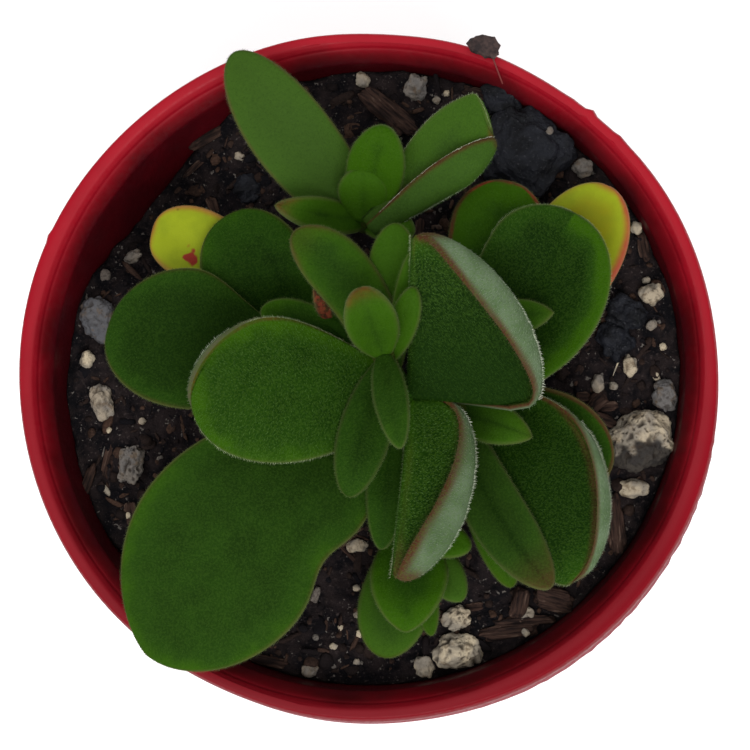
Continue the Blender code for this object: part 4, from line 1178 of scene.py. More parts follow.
# %% Old leaves
fading, tree, shader, place = new_material("fading_leaf", Roughness=0.55, Specular_IOR_Level=0.1)
cloud = speckle(tree, place, 4.0, 4.0)
yellow = mix(tree, spread(tree, attribute(tree, "fresh"), 0.1, 0.5), (0.16, 0.155, 0.0008),
             (0.185, 0.225, 0.004))
yellow = mix(tree, spread(tree, cloud, 0.35, 0.75, 0.0, 0.6), yellow, (0.11, 0.145, 0.002))
burnt = times(tree, attribute(tree, "blush"), spread(tree, cloud, 0.2, 0.7, 0.7, 1.1))
yellow = mix(tree, spread(tree, burnt, 0.0, 1.0), yellow, (0.23, 0.033, 0.016))
scar = seen(-25.2, 17.0, 86.0) * MM
from_scar = maths(tree, "DISTANCE", place, scar, kind=VECTOR_MATHS)
ragged = spread(tree, speckle(tree, place, 3.0, 2.0), 0.3, 0.7, -0.0007, 0.0007)
scarred = spread(tree, maths(tree, "ADD", from_scar, ragged), 0.0018, 0.0014)
yellow = mix(tree, scarred, yellow, (0.18, 0.016, 0.008))
spots = spread(tree, cells(tree, place, 3.5), 0.1, 0.06)
yellow = mix(tree, times(tree, spots, 0.6), yellow, (0.09, 0.05, 0.005))
yellow = mix(tree, times(tree, attribute(tree, "pale"), 0.5), yellow, (0.24, 0.13, 0.07))
wire(tree, shader, Base_Color=yellow, Normal=bumps(tree, speckle(tree, place, 0.4), 0.06, 0.6))
for name, form in OLD_LEAVES.items():
    plant = Foliage()
    add_leaf(plant, form, seen(*form["root"]), seen(*form["tip"]))
    plants[f"old_{name}"] = plant
    mesh = plant.mesh(f"old_leaf_{name}")
    show(f"old_leaf_{name}", mesh, fading, "yellow_leaf", f"yellow_leaf_{name}")
    print("old leaf", name, "triangles:", triangles(mesh))

# %% [markdown]
# ## Hairs by Geometry Nodes
# The whole plant is downy. A hair is a tiny three-sided spike, and there are far too many to place by hand,
# so they are the right job for Geometry Nodes: points are thrown on the skin, each point takes the skin's
# normal and the combing direction, and a spike is put there. Particle hair would be quicker to comb, but it
# isn't a mesh and doesn't leave Blender well. Each tree is made once, with its sizes as named inputs.

# %% Node tree helpers
SOCKETS = {float: "NodeSocketFloat", int: "NodeSocketInt", bpy.types.Material: "NodeSocketMaterial",
           bpy.types.Collection: "NodeSocketCollection"}


def new_tree(name, **inputs):
    """A geometry node tree with named inputs, its input node, and its output node."""
    tree = bpy.data.node_groups.new(name, "GeometryNodeTree")
    tree.interface.new_socket(name="Geometry", in_out="INPUT", socket_type="NodeSocketGeometry")
    tree.interface.new_socket(name="Geometry", in_out="OUTPUT", socket_type="NodeSocketGeometry")
    for title, kind in inputs.items():
        tree.interface.new_socket(name=title.replace("_", " "), in_out="INPUT", socket_type=SOCKETS[kind])
    return tree, tree.nodes.new("NodeGroupInput"), tree.nodes.new("NodeGroupOutput")


def run_tree(name, tree, source, **values):
    """Run a node tree on a mesh and return its result as a plain mesh."""
    holder = bpy.data.objects.new(name, source)
    bpy.context.scene.collection.objects.link(holder)
    modifier = holder.modifiers.new(tree.name, "NODES")
    modifier.node_group = tree
    sockets = {item.name: item.identifier for item in tree.interface.items_tree if item.in_out == "INPUT"}
    for title, value in values.items():
        modifier[sockets[title.replace("_", " ")]] = value
    result = plain_mesh(holder)
    result.name = name
    bpy.data.objects.remove(holder)
    return result


def named(tree, title, kind="FLOAT"):
    """The numbers, or vectors, that the mesh keeps under a name."""
    return socket_of(add(tree, "GeometryNodeInputNamedAttribute", {"Name": title}, data_type=kind).outputs)


def chance(tree, low, high, seed, **settings):
    """A random value for each point."""
    inputs = {"Min": low, "Max": high, "Seed": seed}
    return socket_of(add(tree, "FunctionNodeRandomValue", inputs, **settings).outputs)


def shaken(tree, way, given, amount):
    """The same direction with a small random lean."""
    lean = chance(tree, (-amount,) * 3, (amount,) * 3, given.outputs["Seed"], data_type="FLOAT_VECTOR")
    return maths(tree, "ADD", way, lean, kind=VECTOR_MATHS)


def thrown_points(tree, given, per_mm2, share):
    """Points thrown on the mesh: so many on a square millimetre, times a share that the mesh keeps."""
    density = times(tree, times(tree, given.outputs[per_mm2], 1.0 / MM ** 2), named(tree, share))
    return add(tree, "GeometryNodeDistributePointsOnFaces",
               {"Mesh": given.outputs["Geometry"], "Density": density, "Seed": given.outputs["Seed"]})


def give_back(tree, instances, given, done):
    """Make instances real geometry in the given material, as the result of the tree."""
    real = add(tree, "GeometryNodeRealizeInstances", {"Geometry": instances})
    dressed = add(tree, "GeometryNodeSetMaterial",
                  {"Geometry": real.outputs[0], "Material": given.outputs["Material"]})
    tree.links.new(dressed.outputs[0], done.inputs[0])


def hair_on_points(tree, points, way, given, shortest=0.5):
    """Spikes on points, each along its own direction and longer where the pelt is thick."""
    spike = add(tree, "GeometryNodeMeshCone",
                {"Vertices": 3, "Side Segments": 1, "Radius Top": 0.0,
                 "Radius Bottom": times(tree, given.outputs["Radius mm"], MM),
                 "Depth": times(tree, given.outputs["Length mm"], MM)}, fill_type="NONE")
    turned = add(tree, "FunctionNodeAlignRotationToVector", {"Vector": way}, axis="Z")
    furry = maths(tree, "ADD", times(tree, named(tree, "pelt"), 0.4), 0.6)
    size = times(tree, chance(tree, shortest, 1.15, given.outputs["Seed"]), furry)
    placed = add(tree, "GeometryNodeInstanceOnPoints",
                 {"Points": points, "Instance": spike.outputs["Mesh"], "Rotation": turned.outputs[0],
                  "Scale": size})
    return placed.outputs[0]


print("geometry node helpers are ready")

# %% Down on the skin
down_tree, given, done = new_tree("down_on_skin", Hairs_per_mm2=float, Length_mm=float, Radius_mm=float,
                                  Lean=float, Seed=int, Material=bpy.types.Material)
thrown = thrown_points(down_tree, given, "Hairs per mm2", "fuzz")
comb = named(down_tree, "comb", "FLOAT_VECTOR")
combed = maths(down_tree, "SCALE", comb, given.outputs["Lean"], kind=VECTOR_MATHS)
direction = maths(down_tree, "ADD", thrown.outputs["Normal"], combed, kind=VECTOR_MATHS)
hairs = hair_on_points(down_tree, thrown.outputs["Points"], shaken(down_tree, direction, given, 0.25), given)
give_back(down_tree, hairs, given, done)

down_hair, tree, shader, _ = new_material("down_hair", Roughness=0.6, Specular_IOR_Level=0.1)
hair = mix(tree, attribute(tree, "fresh"), (0.01, 0.036, 0.0015), (0.026, 0.08, 0.0025))
lit_hair = spread(tree, attribute(tree, "fresh"), -0.6, 0.5)
furry = mix(tree, lit_hair, (0.02, 0.058, 0.006), (0.062, 0.13, 0.026))
hair = mix(tree, attribute(tree, "pelt"), hair, furry)
hair = mix(tree, attribute(tree, "silver"), hair, (0.17, 0.22, 0.14))
hair = mix(tree, spread(tree, attribute(tree, "blush"), 0.0, 0.8, 0.0, 0.85), hair, (0.075, 0.036, 0.017))
wire(tree, shader, Base_Color=hair)

HAIRS_PER_MM2 = 11.0
for number, (name, piece) in enumerate(foliage.items(), 1):
    down = run_tree(f"down_{name}", down_tree, piece.data, Hairs_per_mm2=HAIRS_PER_MM2, Length_mm=0.46,
                    Radius_mm=0.027, Lean=1.3, Seed=number, Material=down_hair)
    show(f"down_{name}", down, None, "green_leaf")
    print("down", name, "triangles:", triangles(down))

# %% [markdown]
# ### A fringe along every margin
# Seen from above, the margins are edged with short pale hairs, like eyelashes. They follow a line, so this
# tree turns each margin, or the fold that stands for it, into a curve, sets points along it at an even
# spacing, and stands a hair on each one.

# %% Fringe on the margins
fringe_tree, given, done = new_tree("fringe_on_margin", Hairs_per_mm=float, Length_mm=float, Radius_mm=float,
                                    Seed=int, Material=bpy.types.Material)
line = add(fringe_tree, "GeometryNodeMeshToCurve", {"Mesh": given.outputs["Geometry"]})
spacing = maths(fringe_tree, "DIVIDE", MM, given.outputs["Hairs per mm"])
even = add(fringe_tree, "GeometryNodeResampleCurve", {"Curve": line.outputs[0]}, mode="LENGTH")
feed(fringe_tree, socket_of(even.inputs, "Length"), spacing)
outward = named(fringe_tree, "outward", "FLOAT_VECTOR")
hairs = hair_on_points(fringe_tree, even.outputs[0], shaken(fringe_tree, outward, given, 0.22), given, 0.6)
give_back(fringe_tree, hairs, given, done)

margin_hair, tree, shader, place = new_material("margin_hair", Roughness=0.6, Specular_IOR_Level=0.1)
paleness = attribute(tree, "pelt")
hue = mix(tree, spread(tree, paleness, 0.2, 0.7), (0.095, 0.125, 0.038), (0.36, 0.42, 0.24))
hue = mix(tree, spread(tree, paleness, 1.0, 1.3), hue, (0.6, 0.64, 0.5))
weathered = spread(tree, speckle(tree, place, 5.0), 0.4, 0.7, 0.0, 0.5)
wire(tree, shader, Base_Color=mix(tree, weathered, hue, (0.07, 0.075, 0.025)))


def margin_wires(name, margins):
    """The margins of a plant's leaves as loose edges, each point with its outward direction."""
    places, edges, ways, paleness = [], [], [], []
    for margin, pelt in margins:
        start = len(places)
        places += [point * MM for point, way in margin]
        ways += [way for point, way in margin]
        paleness += [pelt] * len(margin)
        edges += [(index, index + 1) for index in range(start, len(places) - 1)]
    mesh = bpy.data.meshes.new(name)
    mesh.from_pydata(places, edges, [])
    paint(mesh, "outward", ways, "FLOAT_VECTOR")
    paint(mesh, "pelt", paleness)
    return mesh


for number, (name, plant) in enumerate(plants.items(), 11):
    wires = margin_wires(f"margins_{name}", plant.margins)
    old = name.startswith("old")
    fringe = run_tree(f"fringe_{name}", fringe_tree, wires, Hairs_per_mm=4.5, Length_mm=0.3 if old else 0.47,
                      Radius_mm=0.038, Seed=number, Material=margin_hair)
    show(f"fringe_{name}", fringe, None, "yellow_leaf" if old else "green_leaf")
    print("fringe", name, "triangles:", triangles(fringe))

# %% [markdown]
# ## Stones and chips
# Pumice is a pale, frothy stone, full of pits. Each piece is a ball that is stretched, squared a little and
# dented by noise; a finer noise then breaks its skin and digs the pits. Bark and charcoal are the same ball,
# boxier, with the noise stretched along the grain.

# %% Pumice
PUMICE = (
    # name, plan x, plan y, length, width, height, turn in degrees, paleness, pitting
    ("left", -41.3, 8.9, 4.8, 6.8, 4.2, 20, 0.12, 0.7),
    ("left_white", -40.3, 2.7, 2.2, 2.6, 2.0, 0, 0.85, 0.2),
    ("left_cream", -38.0, -3.6, 3.4, 5.2, 3.0, 15, 0.6, 0.5),
    ("left_grey", -34.0, -12.3, 3.4, 6.0, 3.0, -10, 0.3, 1.0),
    ("left_back", -34.4, 18.0, 2.9, 1.8, 1.9, 30, 0.35, 0.6),
    ("back", -0.6, 43.3, 2.2, 2.3, 2.0, 0, 0.6, 0.3),
    ("back_grey", 6.9, 40.6, 3.2, 3.8, 2.4, -15, 0.3, 0.5),
    ("right_back", 30.6, 29.4, 2.9, 2.6, 2.0, 0, 0.4, 0.4),
    ("right_white", 40.3, 11.4, 3.2, 2.9, 2.4, 25, 0.7, 0.6),
    ("right_oval", 37.3, 1.4, 2.0, 3.2, 2.0, 5, 0.75, 0.1),
    ("right_mid", 32.7, -1.3, 1.9, 2.9, 1.8, 0, 0.6, 0.1),
    ("right_grey", 42.7, -2.7, 3.4, 4.6, 3.0, 15, 0.22, 0.7),
    ("right_large", 39.4, -9.2, 9.2, 8.6, 6.2, 20, 0.75, 1.0),
    ("right_low", 37.7, -15.9, 4.4, 2.7, 2.4, 0, 0.75, 0.1),
    ("front_right", 22.4, -33.7, 2.1, 1.8, 1.6, 0, 0.5, 0.5),
    ("front_mid", 12.4, -34.4, 4.0, 3.4, 2.4, 30, 0.75, 0.9),
    ("front_large", 13.0, -40.7, 6.6, 4.7, 4.0, 8, 0.88, 0.9),
    ("front_cream", 8.0, -42.2, 2.6, 3.0, 2.2, 0, 0.7, 0.5),
    ("front_inner", -1.7, -24.1, 3.1, 2.0, 1.8, 10, 0.7, 0.3),
    ("front_left", -8.6, -41.8, 2.4, 2.0, 1.8, 20, 0.55, 0.3),
)
CHIPS = (
    # name, plan x, plan y, length, width, height, turn in degrees
    ("bark_back", 3.0, 37.1, 8.4, 3.1, 2.6, -42),
    ("bark_right", 36.1, -21.7, 8.4, 2.6, 2.2, 95),
    ("bark_front_right", 26.3, -31.7, 5.2, 3.2, 2.4, -15),
    ("bark_front", 21.0, -38.0, 8.6, 1.9, 1.8, 5),
    ("charcoal_lump", 24.1, 33.9, 11.5, 11.0, 5.6, -35),
)


def shifted(place, seed):
    """The same place somewhere else in the noise, so that no two pieces are alike."""
    return place + Vector((seed * 11.0, 0.0, 0.0))


def lump(length, width, height, turn, seed, detail, boxy, skin=None):
    """A broken stone or chip, and the place of each point before it was turned."""
    shape = bmesh.new()
    bmesh.ops.create_icosphere(shape, subdivisions=detail, radius=1.0)
    spin = Matrix.Rotation(math.radians(turn), 4, "Z")
    own_places = []
    for vert in shape.verts:
        way = vert.co.copy()
        squared = Vector([math.copysign(abs(part) ** boxy, part) for part in way])
        dent = 1.0 + 0.32 * noise.noise(way * 1.4 + Vector((seed * 5.3, seed * 1.7, 0.0)))
        sized = Vector((squared.x * length, squared.y * width, squared.z * height)) * (0.5 * dent)
        own_places.append(sized.copy())
        if skin:
            sized += way * skin(shifted(sized, seed))
        vert.co = spin @ sized
    return shape, own_places


def boxiness(pits):
    """A pitted stone is a little square; a smooth one is a pebble."""
    return 1.0 if pits < 0.35 else 0.85


def resting_place(row, seed, boxy, sink):
    """Where a loose piece lies: part sunk in the mix, and pulled in clear of the wall."""
    x, y, length, width, height, turn = row[1:7]
    place = seen(x, y, RIM_HEIGHT - SOIL_DROP)
    place.z = soil_height(place.x, place.y) + height * (0.5 - sink)
    shape, own_places = lump(length, width, height, turn, seed, 2, boxy)
    over = 0.0
    for vert in shape.verts:
        point = vert.co + place
        wall = inner_radius(min(point.z, RIM_HEIGHT - BEVEL_DROP)) - GAP
        over = max(over, math.hypot(point.x, point.y) - wall)
    shape.free()
    return place + Vector((-place.x, -place.y, 0.0)).normalized() * over * 1.1


def laid_down(name, row, seed, detail, boxy, sink, skin):
    """The mesh of a loose piece where it lies, and the place of each point before it was turned."""
    shape, own_places = lump(*row[3:7], seed, detail, boxy, skin)
    bmesh.ops.translate(shape, vec=resting_place(row, seed, boxy, sink), verts=shape.verts)
    return mesh_from(name, shape), own_places


def pit_depth(place):
    """From 0 to 1, how deep the froth has broken open at a place: wide pits with fine ones between them."""
    wide = ease((noise.noise(place * 0.9) - 0.25) / 0.25)
    return max(wide, 0.8 * ease((noise.noise(place * 2.3 + Vector((7.0, 0.0, 0.0))) - 0.3) / 0.2))


def pitted(place, pits):
    """Froth in the stone's skin: small dents, and deeper pits, both shallow on a smooth stone."""
    dents = noise.noise(place * 1.3) * 0.3 + noise.noise(place * 3.5) * 0.09
    return dents * min(0.3 + pits, 1.0) - pit_depth(place) * 0.34 * pits


def dark_patch_of(name, place):
    """From 0 to 1, how far a place of a stone is painted dark; only the big one at the right has any, darker
    towards its front and left.
    """
    if name != "right_large":
        return 0.0
    return ease((noise.noise(place * 0.5) * 2.2 - place.y - 0.3 * place.x - 0.6) / 1.0)


pumice, tree, shader, place = new_material("pumice", Roughness=0.9, Specular_IOR_Level=0.08)
paleness = attribute(tree, "paleness")
veins = speckle(tree, place, 1.5, 5.0, 0.65)
froth = speckle(tree, place, 0.45, 3.0, 0.6)
stone = mix(tree, spread(tree, paleness, 0.1, 0.5), (0.07, 0.07, 0.076), (0.21, 0.175, 0.135))
stone = mix(tree, spread(tree, paleness, 0.5, 0.9), stone, (0.42, 0.35, 0.245))
clouded = spread(tree, speckle(tree, place, 3.2, 2.0), 0.42, 0.6, 0.0, 0.55)
stone = mix(tree, clouded, stone, (0.09, 0.088, 0.09))
stone = mix(tree, spread(tree, veins, 0.5, 0.66, 0.0, 0.7), stone, (0.095, 0.064, 0.038))
stone = mix(tree, spread(tree, froth, 0.58, 0.72, 0.0, 0.6), stone, (0.033, 0.029, 0.026))
stone = mix(tree, times(tree, attribute(tree, "dark_patch"), 0.92), stone, (0.013, 0.012, 0.013))
stone = mix(tree, times(tree, attribute(tree, "pit"), 0.9), stone, (0.025, 0.019, 0.015))
wire(tree, shader, Base_Color=stone, Normal=bumps(tree, froth, 0.25, 0.8))
for seed, row in enumerate(PUMICE, 1):
    name, pale, pits = row[0], row[7], row[8]
    across = min(row[3:5])
    detail = 6 if across > 6.0 else (5 if across > 3.0 else 4)
    mesh, own_places = laid_down(f"pumice_{name}", row, seed, detail, boxiness(pits), 0.35,
                                 lambda spot: pitted(spot, pits))
    paint(mesh, "paleness", [pale] * len(mesh.vertices))
    paint(mesh, "pit", [pit_depth(shifted(spot, seed)) * pits for spot in own_places])
    paint(mesh, "dark_patch", [dark_patch_of(name, spot) for spot in own_places])
    show(f"stone_{name}", mesh, pumice, "pumice", f"pumice_{name}")
print("stones:", len(PUMICE))

# %% Bark and charcoal


def fibrous(place):
    """Long ridges along a chip of bark."""
    stretched = Vector((place.x * 0.22, place.y * 1.9, place.z * 1.9))
    return noise.noise(stretched) * 0.38 + noise.noise(stretched * 2.7) * 0.14


def split_coal(place):
    """Flat splits and small steps in a lump of charcoal."""
    nearest, second = noise.voronoi(place * 0.3)[0][:2]
    return (second - nearest) * 0.75 + noise.noise(place * 0.9) * 0.45 + noise.noise(place * 2.6) * 0.2


def grained(places):
    """Places squeezed along the chip, so that a texture read from them is drawn out into fibres."""
    return [Vector((spot.x * 0.12, spot.y, spot.z)) * MM for spot in places]


bark, tree, shader, _ = new_material("bark", Roughness=0.88, Specular_IOR_Level=0.07)
fibre = speckle(tree, attribute(tree, "along_grain", "Vector"), 0.5, 4.0, 0.6)
wood = mix(tree, spread(tree, fibre, 0.35, 0.6), (0.008, 0.0052, 0.0048), (0.036, 0.02, 0.015))
wood = mix(tree, spread(tree, fibre, 0.58, 0.72), wood, (0.09, 0.06, 0.045))
wire(tree, shader, Base_Color=wood, Normal=bumps(tree, fibre, 0.3, 0.9))

coal, tree, shader, place = new_material("charcoal", Roughness=0.6, Specular_IOR_Level=0.12)
cloud = speckle(tree, place, 3.0, 5.0, 0.6)
crumb = speckle(tree, place, 0.4, 3.0, 0.65)
black = mix(tree, spread(tree, cloud, 0.35, 0.65), (0.0024, 0.0026, 0.0036), (0.009, 0.0098, 0.0135))
black = mix(tree, spread(tree, crumb, 0.6, 0.72, 0.0, 0.8), black, (0.05, 0.05, 0.056))
wire(tree, shader, Base_Color=black, Normal=bumps(tree, crumb, 0.3, 0.8))
for seed, row in enumerate(CHIPS, 50):
    name = row[0]
    is_coal = name.startswith("charcoal")
    skin, detail, look, slot = (split_coal, 6, coal, "charcoal") if is_coal else (fibrous, 5, bark, "bark")
    mesh, own_places = laid_down(name, row, seed, detail, 0.6, 0.3, skin)
    paint(mesh, "along_grain", grained(own_places), "FLOAT_VECTOR")
    show(f"chip_{name}", mesh, look, slot, name)
print("chips:", len(CHIPS))

# %% [markdown]
# ## Crumbs on the mix
# A bed that is one skin looks poured. Real mix is loose, so crumbs and flakes are scattered over it by
# Geometry Nodes. Each one takes a random shape from a small collection, a random turn and size, and a random
# shade that the material reads. They stay a little away from the wall, so that none of them pokes through it.

# %% Crumb shapes
CRUMBS = (
    # length, width, height in millimetres, and boxiness
    (1.5, 1.2, 0.9, 0.8), (1.1, 1.0, 0.9, 0.7), (2.4, 0.9, 0.6, 0.6), (1.9, 1.4, 0.4, 0.7),
    (3.2, 0.5, 0.4, 0.8),
)
WALL_CLEARANCE = 1.6
BED_DEPTH = 25.0

crumb_shapes = bpy.data.collections.new("crumb_shapes")
bpy.context.scene.collection.children.link(crumb_shapes)
for seed, (length, width, height, boxy) in enumerate(CRUMBS):
    shape, own_places = lump(length, width, height, 0, seed + 80, 2, boxy)
    crumb_shapes.objects.link(bpy.data.objects.new(f"crumb_{seed}", mesh_from(f"crumb_{seed}", shape)))
openness = []
for vert in soil_mesh.vertices:
    x, y, z = vert.co / MM
    away = inner_radius(z) - math.hypot(x, y)
    openness.append(1.0 if away > WALL_CLEARANCE and z > RIM_HEIGHT - BED_DEPTH else 0.0)
paint(soil_mesh, "open", openness)

# %% Scatter the crumbs
crumb_tree, given, done = new_tree("scatter_crumbs", Crumbs_per_mm2=float, Smallest=float, Largest=float,
                                   Seed=int, Shapes=bpy.types.Collection, Material=bpy.types.Material)
thrown = thrown_points(crumb_tree, given, "Crumbs per mm2", "open")
shapes = add(crumb_tree, "GeometryNodeCollectionInfo",
             {"Collection": given.outputs["Shapes"], "Separate Children": True, "Reset Children": True})
turns = chance(crumb_tree, (-0.6, -0.6, 0.0), (0.6, 0.6, math.tau), given.outputs["Seed"],
               data_type="FLOAT_VECTOR")
sizes = chance(crumb_tree, given.outputs["Smallest"], given.outputs["Largest"], given.outputs["Seed"])
placed = add(crumb_tree, "GeometryNodeInstanceOnPoints",
             {"Points": thrown.outputs["Points"], "Instance": shapes.outputs[0], "Pick Instance": True,
              "Rotation": turns, "Scale": sizes})
shaded = add(crumb_tree, "GeometryNodeStoreNamedAttribute",
             {"Geometry": placed.outputs[0], "Name": "shade", "Value": chance(crumb_tree, 0.0, 1.0, 40)},
             domain="INSTANCE")
give_back(crumb_tree, shaded.outputs[0], given, done)

crumbly, tree, shader, place = new_material("crumbs", Roughness=0.9, Specular_IOR_Level=0.07)
shade = attribute(tree, "shade")
rough_skin = speckle(tree, place, 0.35, 3.0, 0.65)
crumb_colour = mix(tree, spread(tree, shade, 0.0, 0.6), (0.0042, 0.004, 0.0055), (0.019, 0.012, 0.01))
crumb_colour = mix(tree, spread(tree, shade, 0.6, 0.9), crumb_colour, (0.052, 0.029, 0.02))
crumb_colour = mix(tree, spread(tree, shade, 0.97, 0.995), crumb_colour, (0.13, 0.115, 0.1))
hollows = spread(tree, rough_skin, 0.35, 0.6, 0.5, 0.0)
crumb_colour = mix(tree, hollows, crumb_colour, (0.005, 0.0035, 0.0035))
wire(tree, shader, Base_Color=crumb_colour, Normal=bumps(tree, rough_skin, 0.2, 0.8))
BATCHES = (
    # name, crumbs per square millimetre, smallest and largest share of their full size
    ("coarse", 0.055, 0.9, 1.7), ("fine", 0.24, 0.35, 0.8),
)
for number, (name, thickly, smallest, largest) in enumerate(BATCHES, 31):
    crumbs = run_tree(f"crumbs_{name}", crumb_tree, soil_mesh, Crumbs_per_mm2=thickly, Smallest=smallest,
                      Largest=largest, Seed=number, Shapes=crumb_shapes, Material=crumbly)
    show(f"crumbs_{name}", crumbs, None, "potting_mix")
    print("crumbs", name, "triangles:", triangles(crumbs))
for helper in list(crumb_shapes.objects):
    bpy.data.objects.remove(helper)
bpy.data.collections.remove(crumb_shapes)

# %% [markdown]
# ### Grains and splinters
# Some grains are too small for the solid model but plain to see: pale grit and dark coals among the bark.
# They use the same lump as the stones. A line of sight through each one is followed down to the bed, and the
# grain is left where the line lands. More splinters are drawn at random, with a fixed seed, to fill the bed.

# %% Grains and splinters
GRAINS = (
    # plan x, plan y, size in millimetres, paleness
    (9.7, 39.4, 1.2, 0.7), (11.1, 40.4, 1.0, 0.8), (-16.7, 28.3, 0.9, 0.7), (-18.4, 31.4, 1.5, 0.6),
    (-32.3, -6.3, 1.1, 0.6), (-37.0, -7.6, 0.9, 0.8), (-34.3, -19.7, 1.0, 0.8), (-36.1, -26.6, 1.0, 0.5),
    (-1.7, -30.1, 1.1, 0.8), (-1.7, -33.9, 1.0, 0.7), (-1.3, -36.6, 1.2, 0.8), (-4.0, -35.7, 0.9, 0.7),
    (-5.0, -38.4, 1.1, 0.7), (-1.7, -40.6, 1.0, 0.6), (-8.4, -41.9, 1.0, 0.5), (15.0, -37.6, 1.1, 0.8),
    (23.1, -37.6, 1.2, 0.7), (39.6, 13.7, 1.2, 0.8), (40.4, 7.3, 1.7, 0.5), (42.0, 4.3, 1.2, 0.8),
    (41.0, 0.1, 1.3, 0.7), (34.9, -1.3, 1.4, 0.7), (34.0, -8.3, 1.1, 0.7), (26.6, 36.1, 1.2, 0.35),
    (38.2, 21.2, 1.9, 0.8),
)
SLIVERS = (
    # plan x, plan y, length, width, turn in degrees, paleness
    (35.6, 2.2, 4.4, 0.25, 68, 0.8), (-37.4, -16.1, 2.4, 0.8, 130, 0.85),
)
COALS = (
    # plan x, plan y, length, width, height, turn in degrees
    (36.6, 9.1, 5.6, 4.0, 3.0, -20), (35.2, 5.2, 4.6, 5.0, 2.6, 30), (18.8, 40.0, 4.6, 5.4, 2.6, 20),
    (-16.8, 26.9, 4.2, 4.0, 2.4, 0),
)
SPLINTERS = (
    # plan x, plan y, length, width, height, turn in degrees
    (32.6, -3.6, 3.0, 2.2, 1.6, 40), (21.5, -32.3, 4.6, 2.6, 1.8, 80), (22.1, -34.8, 9.0, 1.3, 1.3, 5),
    (30.6, -2.9, 1.8, 1.4, 1.2, 0), (-25.0, 37.5, 6.5, 1.6, 1.4, 30), (-40.0, -15.0, 5.0, 1.4, 1.2, 70),
    (-14.0, -40.5, 5.5, 1.5, 1.2, -10), (16.0, 41.5, 4.5, 1.6, 1.3, -20), (40.5, 19.0, 4.0, 1.5, 1.2, 100),
)
CHANCE_SPLINTERS = 46
CHANCE_REACH = 41.0
BEDS = ("potting_mix_bed", "chip_charcoal_lump", "chip_bark_back", "chip_bark_front", "chip_bark_front_right")


def skin_of(names):
    """The triangles of some pieces, ready to be hit by a ray."""
    places, faces = [], []
    for name in names:
        mesh = bpy.data.objects[name].data
        start = len(places)
        places += [vert.co.copy() for vert in mesh.vertices]
        faces += [[start + corner for corner in face.vertices] for face in mesh.polygons]
    return BVHTree.FromPolygons(places, faces)


bed_skin = skin_of(BEDS)


def on_mix(x, y, lift):
    """Where the line of sight through a place of the layout sheet meets the bed, raised a little."""
    hit = None
    while hit is None:
        way = (seen(x, y, RIM_HEIGHT - SOIL_DROP) - EYE).normalized()
        hit = bed_skin.ray_cast(EYE * MM, way)[0]
        x, y = x * 0.97, y * 0.97
    return hit / MM + Vector((0.0, 0.0, lift))


def gather(name, rows, first_seed, lift, boxy, skin, detail_of):
    """Small lumps in one mesh, each left on the bed, and the points of each before it was turned."""
    gathered, kept = bmesh.new(), []
    for seed, (x, y, length, width, height, angle) in enumerate(rows, first_seed):
        shape, own_places = lump(length, width, height, angle, seed, detail_of(length), boxy, skin)
        bmesh.ops.translate(shape, vec=on_mix(x, y, height * lift), verts=shape.verts)
        small = bpy.data.meshes.new("small_piece")
        shape.to_mesh(small)
        shape.free()
        gathered.from_mesh(small)
        bpy.data.meshes.remove(small)
        kept.append(own_places)
    return mesh_from(name, gathered), kept


pale_rows = [(x, y, size, size * 0.85, size * 0.8, turn * 40)
             for turn, (x, y, size, _) in enumerate(GRAINS, 100)]
pale_rows += [(x, y, length, width, width, turn) for x, y, length, width, turn, _ in SLIVERS]
grain_mesh, kept = gather("grains", pale_rows, 100, 0.3, 0.85, None, lambda length: 3)
marks = [row[-1] for row, own_places in zip(GRAINS + SLIVERS, kept) for _ in own_places]
paint(grain_mesh, "paleness", marks)
show("pale_grains", grain_mesh, pumice, "pumice")
coal_mesh, kept = gather("coals", COALS, 200, 0.1, 0.75, split_coal, lambda length: 5)
show("coals", coal_mesh, coal, "charcoal")

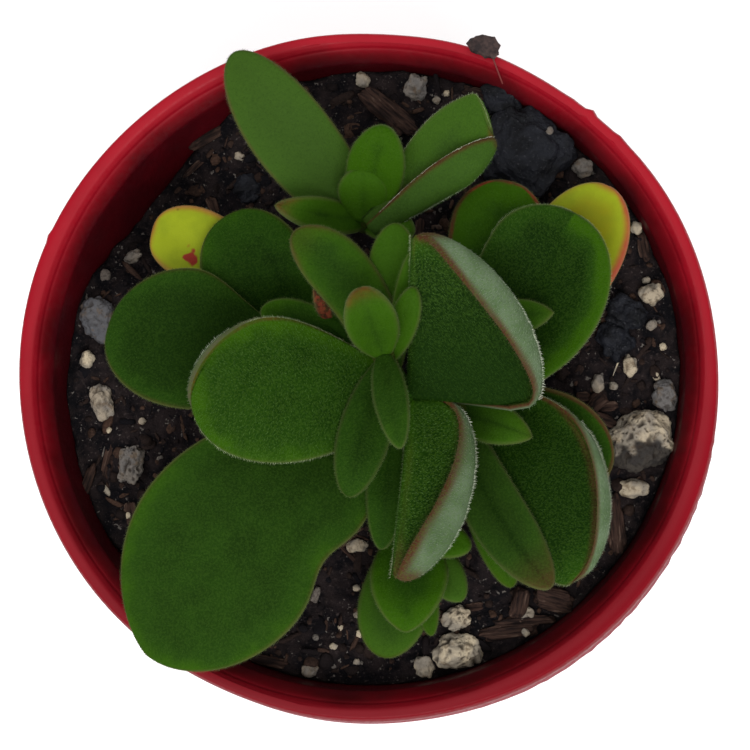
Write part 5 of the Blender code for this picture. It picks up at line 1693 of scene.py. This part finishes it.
draw = random.Random(7)
chance_splinters = []
while len(chance_splinters) < CHANCE_SPLINTERS:
    angle = draw.uniform(0.0, math.tau)
    reach = CHANCE_REACH * math.sqrt(draw.uniform(0.12, 1.0))
    chance_splinters.append((*around(reach, angle), draw.uniform(1.8, 5.2), draw.uniform(0.6, 1.7),
                             draw.uniform(0.5, 1.0), draw.uniform(0.0, 180.0)))
splinter_mesh, kept = gather("splinters", [*SPLINTERS, *chance_splinters], 140, 0.25, 0.6, fibrous,
                             lambda length: 4 if length > 5.5 else 3)
marks = grained([spot for own_places in kept for spot in own_places])
paint(splinter_mesh, "along_grain", marks, "FLOAT_VECTOR")
show("splinters", splinter_mesh, bark, "bark")
print("grains:", len(GRAINS), "splinters:", len(SPLINTERS) + len(chance_splinters))

# %% [markdown]
# ### A dry scrap on a thread
# A dead scrap of leaf lies over the rim at the back, on a thread of a stalk. It is the same leaf shape,
# crumpled by noise, with a papery finish. Vector noise takes its seed from the clock unless one is set, so
# one is set here, and the crumple is the same in every run.

# %% Dry scrap
SCRAP_STALK = ((17.3, 46.6, 86.1), (19.1, 41.8, 84.7), 0.12)
CRUMPLE_SEED = 1795817272

papery, tree, shader, place = new_material("dry_scrap", Roughness=0.75, Specular_IOR_Level=0.3)
crinkle = speckle(tree, place, 1.1, 4.0, 0.6)
paper = mix(tree, spread(tree, crinkle, 0.35, 0.62), (0.01, 0.0045, 0.0045), (0.04, 0.022, 0.019))
paper = mix(tree, spread(tree, crinkle, 0.64, 0.72), paper, (0.24, 0.19, 0.16))
paper = mix(tree, attribute(tree, "blush"), paper, (0.13, 0.02, 0.018))
wire(tree, shader, Base_Color=paper, Normal=bumps(tree, crinkle, 0.2, 0.8))
plant = Foliage()
add_leaf(plant, SCRAP, seen(*SCRAP["root"]), seen(*SCRAP["tip"]))
noise.seed_set(CRUMPLE_SEED)
for vert in plant.shape.verts:
    crumple = noise.noise_vector(vert.co * 0.55) * 0.9 + noise.noise_vector(vert.co * 1.6) * 0.35
    vert.co += Vector((crumple.x, crumple.y, max(crumple.z, -0.2)))
start, end, thread_radius = SCRAP_STALK
add_rod(plant, (seen(*start), seen(*end)), (thread_radius, thread_radius), 0.0, 1.0, 12)
scrap_mesh = plant.mesh("dry_scrap")
show("dry_scrap", scrap_mesh, papery, "dry_leaf", "dry_leaf_scrap")
print("scrap triangles:", triangles(scrap_mesh))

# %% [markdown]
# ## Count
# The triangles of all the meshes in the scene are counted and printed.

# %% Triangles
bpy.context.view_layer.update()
total = sum(triangles(piece.data) for piece in bpy.context.scene.objects if piece.type == "MESH")
print("triangles in the scene:", total)
